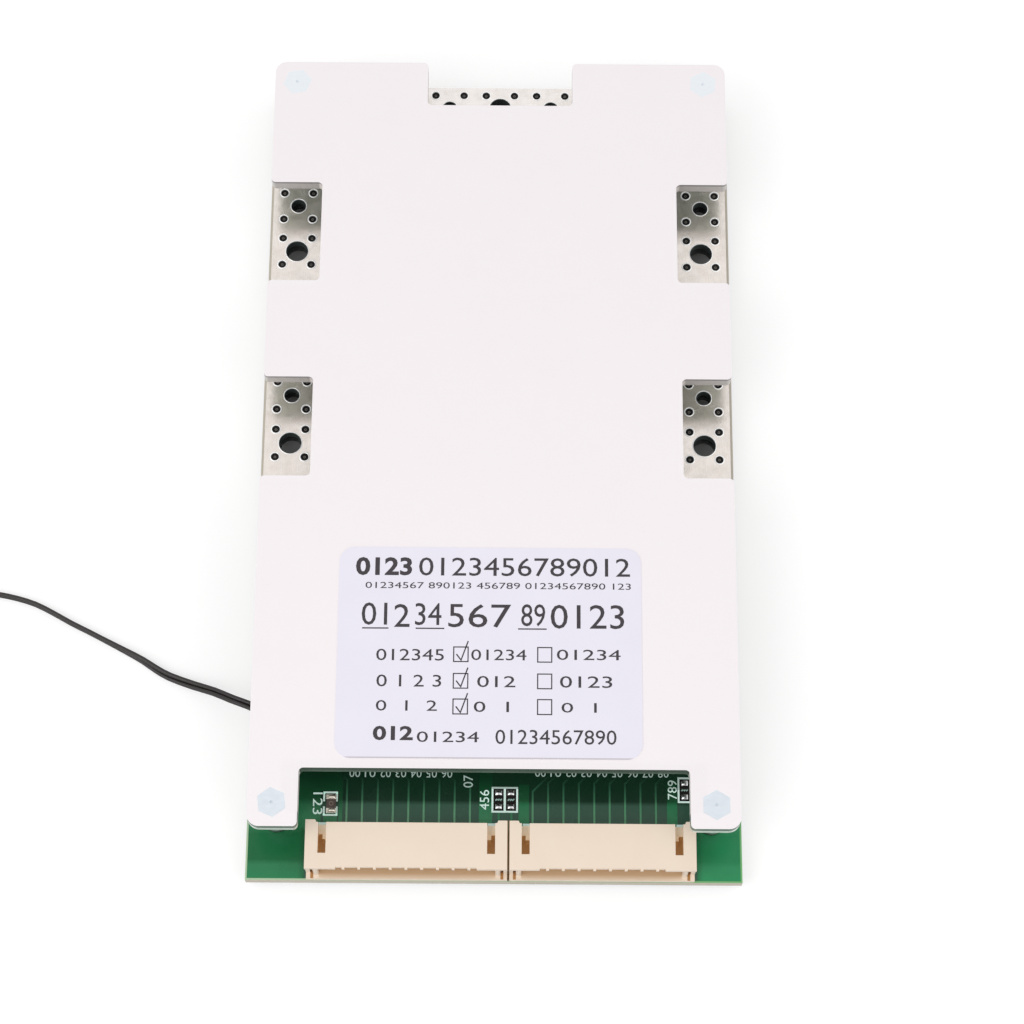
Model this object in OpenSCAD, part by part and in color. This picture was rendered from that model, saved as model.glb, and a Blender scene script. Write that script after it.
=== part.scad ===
// Battery management board: a green circuit board under an aluminium heatsink
// plate on four flush standoffs, with three tinned busbars, two side-entry
// balance headers at the front edge and a twin temperature-sensor lead.
// X runs across the board, +Y to its rear edge, +Z up. The origin is on the
// surface it rests on, under the middle of the board.

/* [Circuit board] */
// Width of the circuit board
board_w = 64; // [64:1:80]
// Length of the circuit board
board_l = 114; // [107:1:140]
// Thickness of the circuit board
board_t = 1.6; // [1.2:0.2:2]

/* [Heatsink plate] */
// Width that the board shows past each long side of the plate
plate_side_margin = 0.8; // [0.4:0.1:1.5]
// Width that the board shows behind the plate
plate_rear_margin = 0.7; // [0.3:0.1:2]
// Length that the board shows in front of the plate's legs
plate_front_margin = 4.7; // [4:0.1:6]
// Thickness of the plate
plate_t = 2; // [1.5:0.1:2.4]
// Clear height between the board and the plate
plate_gap = 8; // [7.5:0.5:12]
// Radius of the plate's outer corners
plate_corner_r = 1.6; // [0.5:0.1:2.5]
// Radius of the corners inside the plate's windows
window_corner_r = 0.6; // [0.4:0.1:1.2]
// Distance of the rear pair of side windows from the plate's rear edge
rear_window_from = 18.6; // [14:0.1:24]
// Length of the rear pair of side windows
rear_window_l = 14.7; // [8:0.1:18]
// Depth of the rear pair of side windows
rear_window_depth = 7; // [4:0.1:9]
// Distance of the front pair of side windows from the plate's rear edge
front_window_from = 47.4; // [45:0.1:54]
// Length of the front pair of side windows
front_window_l = 14.1; // [8:0.1:18]
// Depth of the front pair of side windows
front_window_depth = 6.6; // [4:0.1:9]
// Width of the window in the plate's rear edge
back_window_w = 20; // [10:0.5:30]
// Depth of the window in the plate's rear edge
back_window_depth = 6.6; // [4:0.1:9]
// Width of the bay in the plate's front edge, over the headers
front_bay_w = 49.6; // [40:0.2:51]
// Depth of the bay in the plate's front edge
front_bay_depth = 7.6; // [5:0.1:10]

/* [Standoffs and screws] */
// Distance of each standoff's axis from the plate's edges
standoff_inset = 3.1; // [2.8:0.1:4]
// Width of the hexagonal head across its flats
standoff_head_af = 3.4; // [3.4:0.1:4]
// Thickness of the hexagonal head
standoff_head_t = 1; // [0.6:0.1:1.3]
// Diameter of the standoff's barrel
standoff_barrel_d = 3.2; // [2.8:0.1:3.3]
// Diameter of the screw's pan head
screw_head_d = 4; // [3.6:0.1:4.4]
// Height of the screw's pan head, which the board stands on
screw_head_h = 1.6; // [1.5:0.1:2.4]
// Length of the screw under its head
screw_l = 6; // [4:0.5:7]

/* [Busbars] */
// Thickness of the tinned copper bars
bar_t = 1.5; // [1:0.1:2]
// Width of the side bars
side_bar_w = 7; // [6.6:0.1:8]
// Width of the rear bar
rear_bar_w = 6.4; // [6.2:0.1:8]
// Margin between the side bars and the board's long edges
side_bar_margin = 0.45; // [0.2:0.05:1]
// Distance of the side bars' middle from the board's rear edge
side_bar_middle = 40; // [36:0.5:44]
// Number of hole groups in a side bar
side_bar_groups = 7; // [5:1:7]
// Number of hole groups in the rear bar
rear_bar_groups = 5; // [3:2:5]
// Distance between the middles of two hole groups
group_pitch = 7.15; // [6.8:0.05:7.4]
// How far every other group of a side bar sits forward of the even pitch
side_group_shift = 0.2; // [0:0.05:0.2]
// Distance between the small holes of a group, both ways
small_hole_pitch = 4; // [3.8:0.1:4.2]
// Diameter of the small solder holes
small_hole_d = 1.1; // [0.8:0.1:1.3]
// Diameter of the middle-sized wire holes
medium_hole_d = 2.1; // [1.6:0.1:2.4]
// Diameter of the large wire holes
large_hole_d = 3.1; // [2.6:0.1:3.4]

/* [Balance headers] */
// Number of contacts in the left header
left_ways = 11; // [8:1:11]
// Number of contacts in the right header
right_ways = 10; // [8:1:10]
// Distance between contacts
way_pitch = 2; // [1.8:0.05:2.05]
// Length of housing past the two end contacts, both ends together
header_ends = 5.9; // [5.7:0.1:6]
// Depth of a housing, front to rear
header_depth = 6.8; // [6.6:0.1:7.2]
// Height of a housing
header_h = 4.8; // [4.6:0.1:5.2]
// Setback of the housings from the board's front edge
header_setback = 0.05; // [0.05:0.05:0.5]
// Place of the joint between the two housings, right of the board's middle
header_joint_x = 1.85; // [1:0.05:2.5]
// Gap between the two housings
header_gap = 0.1; // [0.05:0.05:0.3]
// Width of a contact pin
pin_w = 0.5; // [0.4:0.05:0.6]
// Length of the pins under the board
pin_tail = 1.2; // [0.8:0.1:1.4]

/* [Parts on the board] */
// Number of transistors in each row beside a side bar
mosfets_per_row = 5; // [3:1:5]
// Distance between the transistors of a row
mosfet_pitch = 10.8; // [10.6:0.1:11.5]
// Number of monitor chips down the middle
monitor_chips_n = 5; // [3:1:5]
// Number of balance channels in each of the two rows
balance_per_row = 10; // [6:1:10]

/* [Label] */
// Width of the label
label_w = 39.2; // [30:0.2:46]
// Length of the label
label_l = 28.3; // [20:0.1:32]
// Place of the label's middle, right of the plate's middle
label_x = -0.75; // [-3:0.05:3]
// Distance of the label's middle from the board's front edge
label_from_front = 27.75; // [27:0.05:34]
// Thickness of the label
label_t = 0.1; // [0.05:0.05:0.2]

/* [Sensor lead] */
// Diameter of the round tube that stands for the twin lead
lead_d = 1.2; // [1:0.1:1.4]
// Radius of the coil at the middle of its turns
coil_r = 6.6; // [6:0.1:7.2]
// Number of turns that lie side by side in the coil
coil_turns = 3; // [2:1:3]
// Diameter of the sensor's bead
bead_d = 2.4; // [1.8:0.1:2.8]
// Length of the sensor's bead
bead_l = 5; // [4:0.1:6]

/* [Hidden] */
$fn = 48;

eps = 0.01;
cut = 1;

// Levels, from the resting surface up
board_z = screw_head_h;
deck_z = board_z + board_t;
plate_z = deck_z + plate_gap;
plate_top = plate_z + plate_t;

// The board's edges, and the plate's
side_x = board_w / 2;
rear_y = board_l / 2;
front_y = -board_l / 2;
plate_w = board_w - 2 * plate_side_margin;
plate_rear = rear_y - plate_rear_margin;
plate_front = front_y + plate_front_margin;
plate_l = plate_rear - plate_front;
plate_mid = (plate_rear + plate_front) / 2;

// Standoffs: the place of each, and the turn of its hexagon
standoff_x = plate_w / 2 - standoff_inset;
standoff_rear_y = plate_rear - standoff_inset;
standoff_front_y = plate_front + standoff_inset;
rear_left_turn = 10;
rear_right_turn = 25;
front_left_turn = 37;
front_right_turn = 30;
bore_d = 1.6;
bore_spare = 1.2;
bore_depth = screw_l - board_t + bore_spare;
screw_clear = 0.04;
screw_shank_d = bore_d - screw_clear;
screw_hole_d = 2.2;
head_mark_d = 0.4;
head_mark_depth = 0.2;

// Busbars
side_bar_x = side_x - side_bar_margin - side_bar_w / 2;
side_bar_y = rear_y - side_bar_middle;
rear_bar_y = rear_y - rear_bar_w / 2;
bar_corner_r = 0.4;

// Headers, in a housing's own frame: x from its middle, y back from its mouth
header_y = front_y + header_setback;
wall_t = 0.7;
post_w = 1.65;
lip = 0.45;
roof_recess = 0.22;
mouth_depth = 5.2;
mouth_h = 3.4;
rear_step = 0.33;
ear_w = 1.25;
ear_slope = 0.15;
slot_w = 1.02;
slot_from_end = 2.15;
slot_front = 2.45;
slot_ledge_y = 5.15;
slot_ledge_z = 3.3;
slot_step_l = 0.6;
slit_w = 0.36;
slit_from_end = 0.75;
slit_depth = 1.6;
column_r = (post_w - slit_from_end - slit_w / 2) / 2;
slit_foot = 0.15;
rib_w = 0.36;
rib_drop = 0.1;
recess_past_ribs = 1;
pin_clear = 0.02;
pin_row_z = wall_t + mouth_h / 2;
pin_tip_y = 1.6;
pin_row_y = 6;
pin_hole_d = 0.85;
joint_d = 1.5;
joint_tip_d = 0.8;
joint_h = 0.8;

// Power transistors, in one transistor's own frame: x from its tab's edge
mosfet_w = 10.2;
mosfet_tab_l = 8.3;
mosfet_tab_t = 1.27;
mosfet_tab_inset = 0.1;
mosfet_body_x = 1.3;
mosfet_body_l = 8.6;
mosfet_h = 4.4;
mosfet_lead_z = 1.9;
mosfet_lead_reach = 4.9;
mosfet_lead_t = 0.5;
mosfet_lead_w = 0.8;
mosfet_lead_pitch = 2.54;
mosfet_stub_l = 1.2;
mosfet_bar_gap = 1;
mosfet_row_x = side_bar_x - side_bar_w / 2 - mosfet_bar_gap;

// Small parts
body_lift = 0.1;
chip_size = [9.9, 3.9, 1.6];
chip_legs = 8;
chip_leg_pitch = 1.27;
chip_row_pitch = 10;
resistor_size = [3.2, 6.3, 0.6];
shunts_n = 4;
shunt_pitch = 5;
shunt_y = rear_y - 11.5;
balance_pitch = 4;
balance_y = front_y + 29.5;
balance_row_gap = 13;
transistor_size = [2.9, 1.3, 1];
transistor_leg_x = 0.95;
transistor_row_gap = 2.8;
chip_resistor_size = [1.25, 2.4, 0.55];
chip_resistor_x = -21.15;
chip_resistor_y = front_y + 10;
jumper_size = [1.2, 1, 0.22];
jumper_y = front_y + 10.9;
jumper_pad_gap = 2.3;
jumper_xs = [0.13, 2.17, 24.9];
label_corner_r = 2;

// The lead's route: straight out of its solder joints, over the board's edge,
// down to the surface and along it to the coil. A point is x from the board's
// left edge, y from the joints, and the height of the lead's underside.
lead_r = lead_d / 2;
lead_y0 = front_y + 21.8;
solder_from_edge = 5.3;
solder_x = solder_from_edge - side_x;
mound_r = 0.58;
core_offset = 0.6;
// Over the board, with heights from its top
lead_on_board = [[4.8, 0, 0], [3.3, 0, 0], [1.5, 0.5, 0.05], [-0.4, 1.3, 0.1], [-2.6, 2.2, -0.3]];
// Past its edge, with heights from the resting surface
lead_on_surface = [
    [-5.1, 3.5, 1.8], [-8.1, 4.7, 0.7], [-11.3, 6, 0.2], [-13.2, 7.1, 0.05], [-15, 8.3, 0],
    [-17.4, 9.6, 0], [-19.9, 10.9, 0], [-22.4, 12.2, 0], [-24.8, 13.4, 0], [-27.3, 14.8, 0],
    [-29.7, 16, 0], [-32.2, 16.8, 0], [-34.6, 17.3, 0.05], [-37, 17.6, 0.15], [-39.5, 17.7, 0.3],
    [-42, 17.7, 0.3]
];
function lead_point(p, z) = [p[0] - side_x, p[1] + lead_y0, p[2] + lead_r + z];
lead_route = [
    for (p = lead_on_board) lead_point(p, deck_z),
    for (p = lead_on_surface) lead_point(p, 0)
];
lead_start = lead_route[0];
lead_end = lead_route[len(lead_route) - 1];
lead_sides = 8;

// The coil lies past the end of the route, and a straight stretch at its rear meets the route
coil_out_r = coil_r + coil_turns * lead_d / 2;
coil_in_r = coil_r - coil_turns * lead_d / 2;
coil_entry_l = 5;
coil_z = lead_end[2] - lead_r;
coil_x = lead_end[0] - coil_entry_l;
coil_y = lead_end[1] - coil_out_r + lead_r;
tie_w = 1.6;
tie_t = coil_z;
// The bead lies across the coil's inside, with both its ends near the turns
bead_clear = 0.05;
bead_y = coil_y + sqrt(coil_in_r ^ 2 - (bead_l / 2) ^ 2) - bead_d / 2 - bead_clear;

// ---- Shared shapes ----

// A rectangle with rounded corners, centred
module rounded_rect(size, r) {
    square([size[0] - 2 * r, size[1]], center = true);
    square([size[0], size[1] - 2 * r], center = true);
    for (sx = [-1, 1], sy = [-1, 1])
        translate([sx * (size[0] / 2 - r), sy * (size[1] / 2 - r)]) circle(r);
}

// What a rounding of radius r takes off a corner at the origin, with the body on +X +Y
module corner_waste(r) {
    difference() {
        translate([-cut, -cut]) square([r + cut, r + cut]);
        translate([r, r]) circle(r);
        translate([r, -2 * cut]) square([2 * cut, 4 * cut]);
        translate([-2 * cut, r]) square([4 * cut, 2 * cut]);
    }
}

// An open window that cuts in from an edge: its mouth is on the line x = 0 and it goes to +X.
// The mouth's corners are rounded outward, and the inner ones inward.
module edge_window(depth, length) {
    r = window_corner_r;
    translate([-cut, -length / 2]) square([depth + cut - r, length]);
    translate([-cut, -length / 2 + r]) square([depth + cut, length - 2 * r]);
    for (s = [-1, 1]) {
        translate([depth - r, s * (length / 2 - r)]) circle(r);
        translate([0, s * length / 2]) scale([1, s]) corner_waste(r);
    }
}

// A lead bent down from a part's side to the board: x outward, its width along y
module gull_lead(reach, drop, thick, width) {
    shoulder = reach * 0.3;
    foot = reach * 0.55;
    lean = thick * 0.7;
    rotate([90, 0, 0]) linear_extrude(width, center = true)
        polygon([
            [0, drop], [shoulder, drop], [foot, 0], [reach, 0], [reach, thick],
            [foot + lean, thick], [shoulder + lean, drop + thick], [0, drop + thick]
        ]);
}

// Diameter of the wire hole in the middle of a group: the sizes take turns
function wire_hole_d(i, first_large) =
    (i % 2 == (first_large ? 0 : 1)) ? large_hole_d : medium_hole_d;

// Middle of group i in a bar of n groups, every other one of them shifted
function group_place(i, n, shift) = ((n - 1) / 2 - i) * group_pitch - (i % 2 == 0 ? shift : 0);

// ---- Heatsink plate and its standoffs ----

module plate_outline() {
    half_w = plate_w / 2;
    difference() {
        translate([0, plate_mid]) rounded_rect([plate_w, plate_l], plate_corner_r);
        for (s = [-1, 1]) {
            translate([s * half_w, plate_rear - rear_window_from - rear_window_l / 2]) scale([-s, 1])
                edge_window(rear_window_depth, rear_window_l);
            translate([s * half_w, plate_rear - front_window_from - front_window_l / 2]) scale([-s, 1])
                edge_window(front_window_depth, front_window_l);
        }
        translate([0, plate_rear]) rotate(-90) edge_window(back_window_depth, back_window_w);
        translate([0, plate_front]) rotate(90) edge_window(front_bay_depth, front_bay_w);
    }
}

module hexagon(af) {
    circle(d = af / cos(30), $fn = 6);
}

module standoff_head_pocket(turn) {
    translate([0, 0, plate_top - standoff_head_t]) rotate(turn)
        linear_extrude(standoff_head_t + cut) hexagon(standoff_head_af);
    translate([0, 0, plate_z - cut]) cylinder(h = plate_t + cut, d = standoff_barrel_d);
}

module heatsink_plate() {
    color([0.93, 0.92, 0.93]) difference() {
        translate([0, 0, plate_z]) linear_extrude(plate_t) plate_outline();
        translate([-standoff_x, standoff_rear_y]) standoff_head_pocket(rear_left_turn);
        translate([standoff_x, standoff_rear_y]) standoff_head_pocket(rear_right_turn);
        translate([-standoff_x, standoff_front_y]) standoff_head_pocket(front_left_turn);
        translate([standoff_x, standoff_front_y]) standoff_head_pocket(front_right_turn);
    }
}

// A self-clinching standoff: its hexagonal head is flush in the plate, and its
// threaded barrel stands on the board
module standoff(turn) {
    color([0.82, 0.84, 0.87]) difference() {
        union() {
            translate([0, 0, plate_top - standoff_head_t]) rotate(turn)
                linear_extrude(standoff_head_t) hexagon(standoff_head_af);
            translate([0, 0, deck_z])
                cylinder(h = plate_top - standoff_head_t / 2 - deck_z, d = standoff_barrel_d);
        }
        translate([0, 0, deck_z - cut]) cylinder(h = bore_depth + cut, d = bore_d);
        translate([0, 0, plate_top - head_mark_depth])
            cylinder(h = head_mark_depth + cut, d = head_mark_d);
    }
}

module standoff_rear_left() {
    translate([-standoff_x, standoff_rear_y]) standoff(rear_left_turn);
}

module standoff_rear_right() {
    translate([standoff_x, standoff_rear_y]) standoff(rear_right_turn);
}

module standoff_front_left() {
    translate([-standoff_x, standoff_front_y]) standoff(front_left_turn);
}

module standoff_front_right() {
    translate([standoff_x, standoff_front_y]) standoff(front_right_turn);
}

// A pan-head screw with a cross recess, driven up through the board
module standoff_screw() {
    recess_l = screw_head_d * 0.55;
    recess_w = 0.5;
    recess_depth = screw_head_h * 0.5;
    difference() {
        union() {
            cylinder(h = screw_head_h, d = screw_head_d);
            cylinder(h = screw_head_h + screw_l, d = screw_shank_d);
        }
        for (a = [0, 90]) rotate(a)
            translate([-recess_l / 2, -recess_w / 2, -cut])
                cube([recess_l, recess_w, recess_depth + cut]);
    }
}

module standoff_screws() {
    color([0.75, 0.77, 0.8])
        for (sx = [-1, 1], y = [standoff_rear_y, standoff_front_y])
            translate([sx * standoff_x, y]) standoff_screw();
}

// ---- Circuit board ----

// The wire holes of a bar with n groups, along y
module wire_holes(n, first_large, h, shift) {
    for (i = [0 : n - 1])
        translate([0, group_place(i, n, shift), -cut])
            cylinder(h = h + 2 * cut, d = wire_hole_d(i, first_large));
}

module header_pin_places(ways) {
    for (i = [0 : ways - 1])
        translate([(i - (ways - 1) / 2) * way_pitch, 0, 0]) children();
}

module circuit_board() {
    color([0.1, 0.45, 0.28]) translate([0, 0, board_z]) difference() {
        translate([-board_w / 2, front_y, 0]) cube([board_w, board_l, board_t]);
        for (s = [-1, 1]) translate([s * side_bar_x, side_bar_y])
            wire_holes(side_bar_groups, false, board_t, side_group_shift);
        translate([0, rear_bar_y]) rotate(90) wire_holes(rear_bar_groups, true, board_t, 0);
        for (sx = [-1, 1], y = [standoff_rear_y, standoff_front_y])
            translate([sx * standoff_x, y, -cut]) cylinder(h = board_t + 2 * cut, d = screw_hole_d);
        at_left_header() header_pin_places(left_ways)
            translate([0, pin_row_y, -cut]) cylinder(h = board_t + 2 * cut, d = pin_hole_d);
        at_right_header() header_pin_places(right_ways)
            translate([0, pin_row_y, -cut]) cylinder(h = board_t + 2 * cut, d = pin_hole_d);
    }
}

// ---- Busbars ----

// A tinned copper bar of n hole groups along y: a wire hole with four small holes round it
module busbar(width, n, first_large, shift) {
    color([0.8, 0.79, 0.76]) difference() {
        linear_extrude(bar_t) rounded_rect([width, n * group_pitch], bar_corner_r);
        wire_holes(n, first_large, bar_t, shift);
        for (i = [0 : n - 1], sx = [-1, 1], sy = [-1, 1])
            translate([
                sx * small_hole_pitch / 2,
                group_place(i, n, shift) + sy * small_hole_pitch / 2,
                -cut
            ])
                cylinder(h = bar_t + 2 * cut, d = small_hole_d, $fn = 24);
    }
}

module side_busbar() {
    busbar(side_bar_w, side_bar_groups, false, side_group_shift);
}

module left_busbar() {
    translate([-side_bar_x, side_bar_y, deck_z]) side_busbar();
}

module right_busbar() {
    translate([side_bar_x, side_bar_y, deck_z]) side_busbar();
}

module rear_busbar() {
    translate([0, rear_bar_y, deck_z]) rotate(90) busbar(rear_bar_w, rear_bar_groups, true, 0);
}

// ---- Balance headers ----

function header_w(ways) = (ways - 1) * way_pitch + header_ends;

module at_left_header() {
    translate([header_joint_x - header_gap / 2 - header_w(left_ways) / 2, header_y, 0]) children();
}

module at_right_header() {
    translate([header_joint_x + header_gap / 2 + header_w(right_ways) / 2, header_y, 0]) children();
}

// The housing seen from above: ears at the rear corners, sloped on their inner side
module header_outline(w) {
    mid_rear = header_depth - rear_step;
    ear_in = w / 2 - ear_w;
    translate([-w / 2, 0]) square([w, mid_rear]);
    for (s = [-1, 1]) scale([s, 1])
        polygon([
            [ear_in - ear_slope, mid_rear - eps], [w / 2, mid_rear - eps],
            [w / 2, header_depth], [ear_in, header_depth]
        ]);
}

module header_housing(ways) {
    w = header_w(ways);
    ribs_half = (ways - 3) / 2 * way_pitch;
    recess_half = ribs_half + recess_past_ribs;
    color([0.94, 0.87, 0.76]) difference() {
        union() {
            difference() {
                linear_extrude(header_h) header_outline(w);
                // Over the lip, the face stands back, and the roof's middle a little more
                translate([-w, -cut, wall_t]) cube([2 * w, lip + cut, header_h]);
                translate([-recess_half, -cut, wall_t])
                    cube([2 * recess_half, lip + roof_recess + cut, header_h]);
                // The mouth
                translate([-w / 2 + post_w, -cut, wall_t])
                    cube([w - 2 * post_w, mouth_depth + cut, mouth_h]);
                // Under the roof, the end posts stand back behind their columns
                for (s = [-1, 1])
                    translate([s * (w / 2 - post_w / 2) - post_w / 2 - cut, -cut, wall_t])
                        cube([post_w + 2 * cut, lip + column_r + cut, mouth_h]);
            }
            for (s = [-1, 1]) {
                // A round column on the face of each end post
                translate([s * (w / 2 - post_w + column_r), lip + column_r, wall_t - eps])
                    cylinder(h = mouth_h + 2 * eps, r = column_r, $fn = 24);
                // A step under each slot's inner half
                translate([s * (w / 2 - slot_from_end - slot_w / 4) - slot_w / 4,
                    mouth_depth - slot_step_l, wall_t - eps])
                    cube([slot_w / 2, slot_step_l + eps, slot_ledge_z - wall_t + eps]);
            }
            // Ribs on the roof's front edge, one for each inner contact
            for (i = [1 : ways - 2])
                translate([(i - (ways - 1) / 2) * way_pitch - rib_w / 2, lip, wall_t + mouth_h])
                    cube([rib_w, roof_recess + eps, header_h - wall_t - mouth_h - rib_drop]);
        }
        for (s = [-1, 1]) {
            // Slots in the roof over the mouth's ends, open at the rear above a ledge
            translate([s * (w / 2 - slot_from_end) - slot_w / 2, slot_front, wall_t + mouth_h - eps])
                cube([slot_w, slot_ledge_y - slot_front, header_h]);
            translate([s * (w / 2 - slot_from_end) - slot_w / 2, slot_ledge_y - eps, slot_ledge_z])
                cube([slot_w, header_depth, header_h]);
            // Narrow slits in the faces of the end posts
            translate([s * (w / 2 - slit_from_end) - slit_w / 2, -cut, wall_t + slit_foot])
                cube([slit_w, slit_depth + cut, mouth_h - slit_foot]);
        }
        // Holes for the contacts, and the grooves for their tails
        header_pin_places(ways) {
            translate([-pin_w / 2 - pin_clear, mouth_depth - cut, pin_row_z - pin_w / 2 - pin_clear])
                cube([pin_w + 2 * pin_clear, pin_row_y + pin_w / 2 + pin_clear - mouth_depth + cut,
                    pin_w + 2 * pin_clear]);
            translate([-pin_w / 2 - pin_clear, pin_row_y - pin_w / 2 - pin_clear, -cut])
                cube([pin_w + 2 * pin_clear, pin_w + 2 * pin_clear, pin_row_z + cut]);
        }
    }
}

// A square pin that runs back from the mouth and turns down through the board
module header_pin() {
    color([0.85, 0.82, 0.72]) {
        translate([-pin_w / 2, pin_tip_y, pin_row_z - pin_w / 2])
            cube([pin_w, pin_row_y + pin_w / 2 - pin_tip_y, pin_w]);
        translate([-pin_w / 2, pin_row_y - pin_w / 2, -board_t - pin_tail])
            cube([pin_w, pin_w, board_t + pin_tail + pin_row_z]);
    }
}

module left_header_housing() {
    translate([0, 0, deck_z]) at_left_header() header_housing(left_ways);
}

module right_header_housing() {
    translate([0, 0, deck_z]) at_right_header() header_housing(right_ways);
}

module left_header_pins() {
    translate([0, 0, deck_z]) at_left_header() header_pin_places(left_ways) header_pin();
}

module right_header_pins() {
    translate([0, 0, deck_z]) at_right_header() header_pin_places(right_ways) header_pin();
}

// The cone of solder round one pin, under the board
module pin_joint() {
    difference() {
        translate([0, pin_row_y, board_z - joint_h]) 
            cylinder(h = joint_h, d1 = joint_tip_d, d2 = joint_d);
        translate([-pin_w / 2, pin_row_y - pin_w / 2, 0]) cube([pin_w, pin_w, board_z + cut]);
    }
}

module header_solder_joints() {
    color([0.78, 0.78, 0.78]) {
        at_left_header() header_pin_places(left_ways) pin_joint();
        at_right_header() header_pin_places(right_ways) pin_joint();
    }
}

// ---- Power transistors and their thermal pads ----

// The places of one row: tabs beside the bar, leads toward the board's middle
module mosfet_row(side) {
    for (i = [0 : mosfets_per_row - 1])
        translate([side * mosfet_row_x, side_bar_y + (i - (mosfets_per_row - 1) / 2) * mosfet_pitch,
            deck_z])
            scale([-side, 1, 1]) children();
}

module mosfet_body() {
    color([0.12, 0.12, 0.13]) {
        translate([mosfet_body_x, -mosfet_w / 2, mosfet_tab_t])
            cube([mosfet_body_l, mosfet_w, mosfet_h - mosfet_tab_t]);
        translate([mosfet_tab_l, -mosfet_w / 2, body_lift])
            cube([mosfet_body_x + mosfet_body_l - mosfet_tab_l, mosfet_w, mosfet_tab_t]);
    }
}

module mosfet_tab() {
    color([0.78, 0.78, 0.76]) translate([0, -mosfet_w / 2 + mosfet_tab_inset, 0])
        cube([mosfet_tab_l, mosfet_w - 2 * mosfet_tab_inset, mosfet_tab_t]);
}

module mosfet_leads() {
    color([0.8, 0.8, 0.78]) translate([mosfet_body_x + mosfet_body_l, 0, 0]) {
        for (s = [-1, 1]) translate([0, s * mosfet_lead_pitch, 0])
            gull_lead(mosfet_lead_reach, mosfet_lead_z, mosfet_lead_t, mosfet_lead_w);
        translate([0, -mosfet_lead_w / 2, mosfet_lead_z])
            cube([mosfet_stub_l, mosfet_lead_w, mosfet_lead_t]);
    }
}

module left_mosfet_bodies() {
    mosfet_row(-1) mosfet_body();
}

module left_mosfet_tabs() {
    mosfet_row(-1) mosfet_tab();
}

module left_mosfet_leads() {
    mosfet_row(-1) mosfet_leads();
}

module right_mosfet_bodies() {
    mosfet_row(1) mosfet_body();
}

module right_mosfet_tabs() {
    mosfet_row(1) mosfet_tab();
}

module right_mosfet_leads() {
    mosfet_row(1) mosfet_leads();
}

// A soft pad fills the height between a row of transistors and the plate
module thermal_pad(side) {
    pad_l = (mosfets_per_row - 1) * mosfet_pitch + mosfet_w;
    pad_x = mosfet_row_x - mosfet_body_x - mosfet_body_l / 2;
    color([0.62, 0.72, 0.82])
        translate([side * pad_x - mosfet_body_l / 2, side_bar_y - pad_l / 2, deck_z + mosfet_h])
            cube([mosfet_body_l, pad_l, plate_gap - mosfet_h]);
}

module left_thermal_pad() {
    thermal_pad(-1);
}

module right_thermal_pad() {
    thermal_pad(1);
}

// ---- Small parts on the board ----

module chip_resistor(size) {
    translate([-size[0] / 2, -size[1] / 2, 0]) cube(size);
}

module shunt_resistors() {
    color([0.2, 0.2, 0.2]) for (i = [0 : shunts_n - 1])
        translate([(i - (shunts_n - 1) / 2) * shunt_pitch, shunt_y, deck_z])
            chip_resistor(resistor_size);
}

module monitor_chip_places() {
    for (i = [0 : monitor_chips_n - 1])
        translate([0, side_bar_y + (i - (monitor_chips_n - 1) / 2) * chip_row_pitch, deck_z])
            children();
}

module monitor_chips() {
    color([0.13, 0.13, 0.14]) monitor_chip_places()
        translate([-chip_size[0] / 2, -chip_size[1] / 2, body_lift])
            cube([chip_size[0], chip_size[1], chip_size[2] - body_lift]);
}

module monitor_chip_leads() {
    color([0.8, 0.8, 0.78]) monitor_chip_places()
        for (s = [-1, 1], i = [0 : chip_legs - 1])
            translate([(i - (chip_legs - 1) / 2) * chip_leg_pitch, s * chip_size[1] / 2, 0])
                rotate(s * 90) gull_lead(reach = 1.05, drop = 0.7, thick = 0.2, width = 0.42);
}

module balance_places() {
    for (i = [0 : balance_per_row - 1])
        translate([(i - (balance_per_row - 1) / 2) * balance_pitch, balance_y, deck_z]) children();
}

module balance_resistors() {
    color([0.18, 0.18, 0.18]) balance_places() for (s = [-1, 1])
        translate([0, s * balance_row_gap / 2, 0]) chip_resistor(resistor_size);
}

module balance_transistors() {
    color([0.13, 0.13, 0.14]) balance_places() for (s = [-1, 1])
        translate([
            -transistor_size[0] / 2,
            s * transistor_row_gap / 2 - transistor_size[1] / 2,
            body_lift
        ])
            cube([transistor_size[0], transistor_size[1], transistor_size[2] - body_lift]);
}

module transistor_leg() {
    gull_lead(reach = 0.5, drop = 0.45, thick = 0.12, width = 0.4);
}

module balance_transistor_leads() {
    color([0.8, 0.8, 0.78]) balance_places() for (s = [-1, 1])
        translate([0, s * transistor_row_gap / 2, 0]) {
            translate([0, transistor_size[1] / 2, 0]) rotate(90) transistor_leg();
            for (k = [-1, 1]) translate([k * transistor_leg_x, -transistor_size[1] / 2, 0])
                rotate(-90) transistor_leg();
        }
}

module front_chip_resistor() {
    color([0.2, 0.2, 0.2]) translate([chip_resistor_x, chip_resistor_y, deck_z])
        chip_resistor(chip_resistor_size);
}

// Pairs of solder-covered pads that stay open until they are bridged
module jumper_solder() {
    color([0.8, 0.8, 0.8]) for (x = jumper_xs, s = [-1, 1])
        translate([x, jumper_y + s * jumper_pad_gap / 2, deck_z]) chip_resistor(jumper_size);
}

module product_label() {
    color([0.92, 0.91, 0.96])
        translate([label_x, front_y + label_from_front, plate_top])
            linear_extrude(label_t) rounded_rect([label_w, label_l], label_corner_r);
}

// ---- Sensor lead ----

// Two mounds of solder, flat where the lead's cores run into them
module sensor_solder() {
    color([0.8, 0.8, 0.8]) for (s = [-1, 1]) intersection() {
        translate([solder_x, lead_y0 + s * core_offset, deck_z]) cylinder(h = lead_d, r = mound_r);
        translate([lead_start[0], lead_y0 - 2 * lead_d, deck_z]) cube(4 * lead_d);
    }
}

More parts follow.
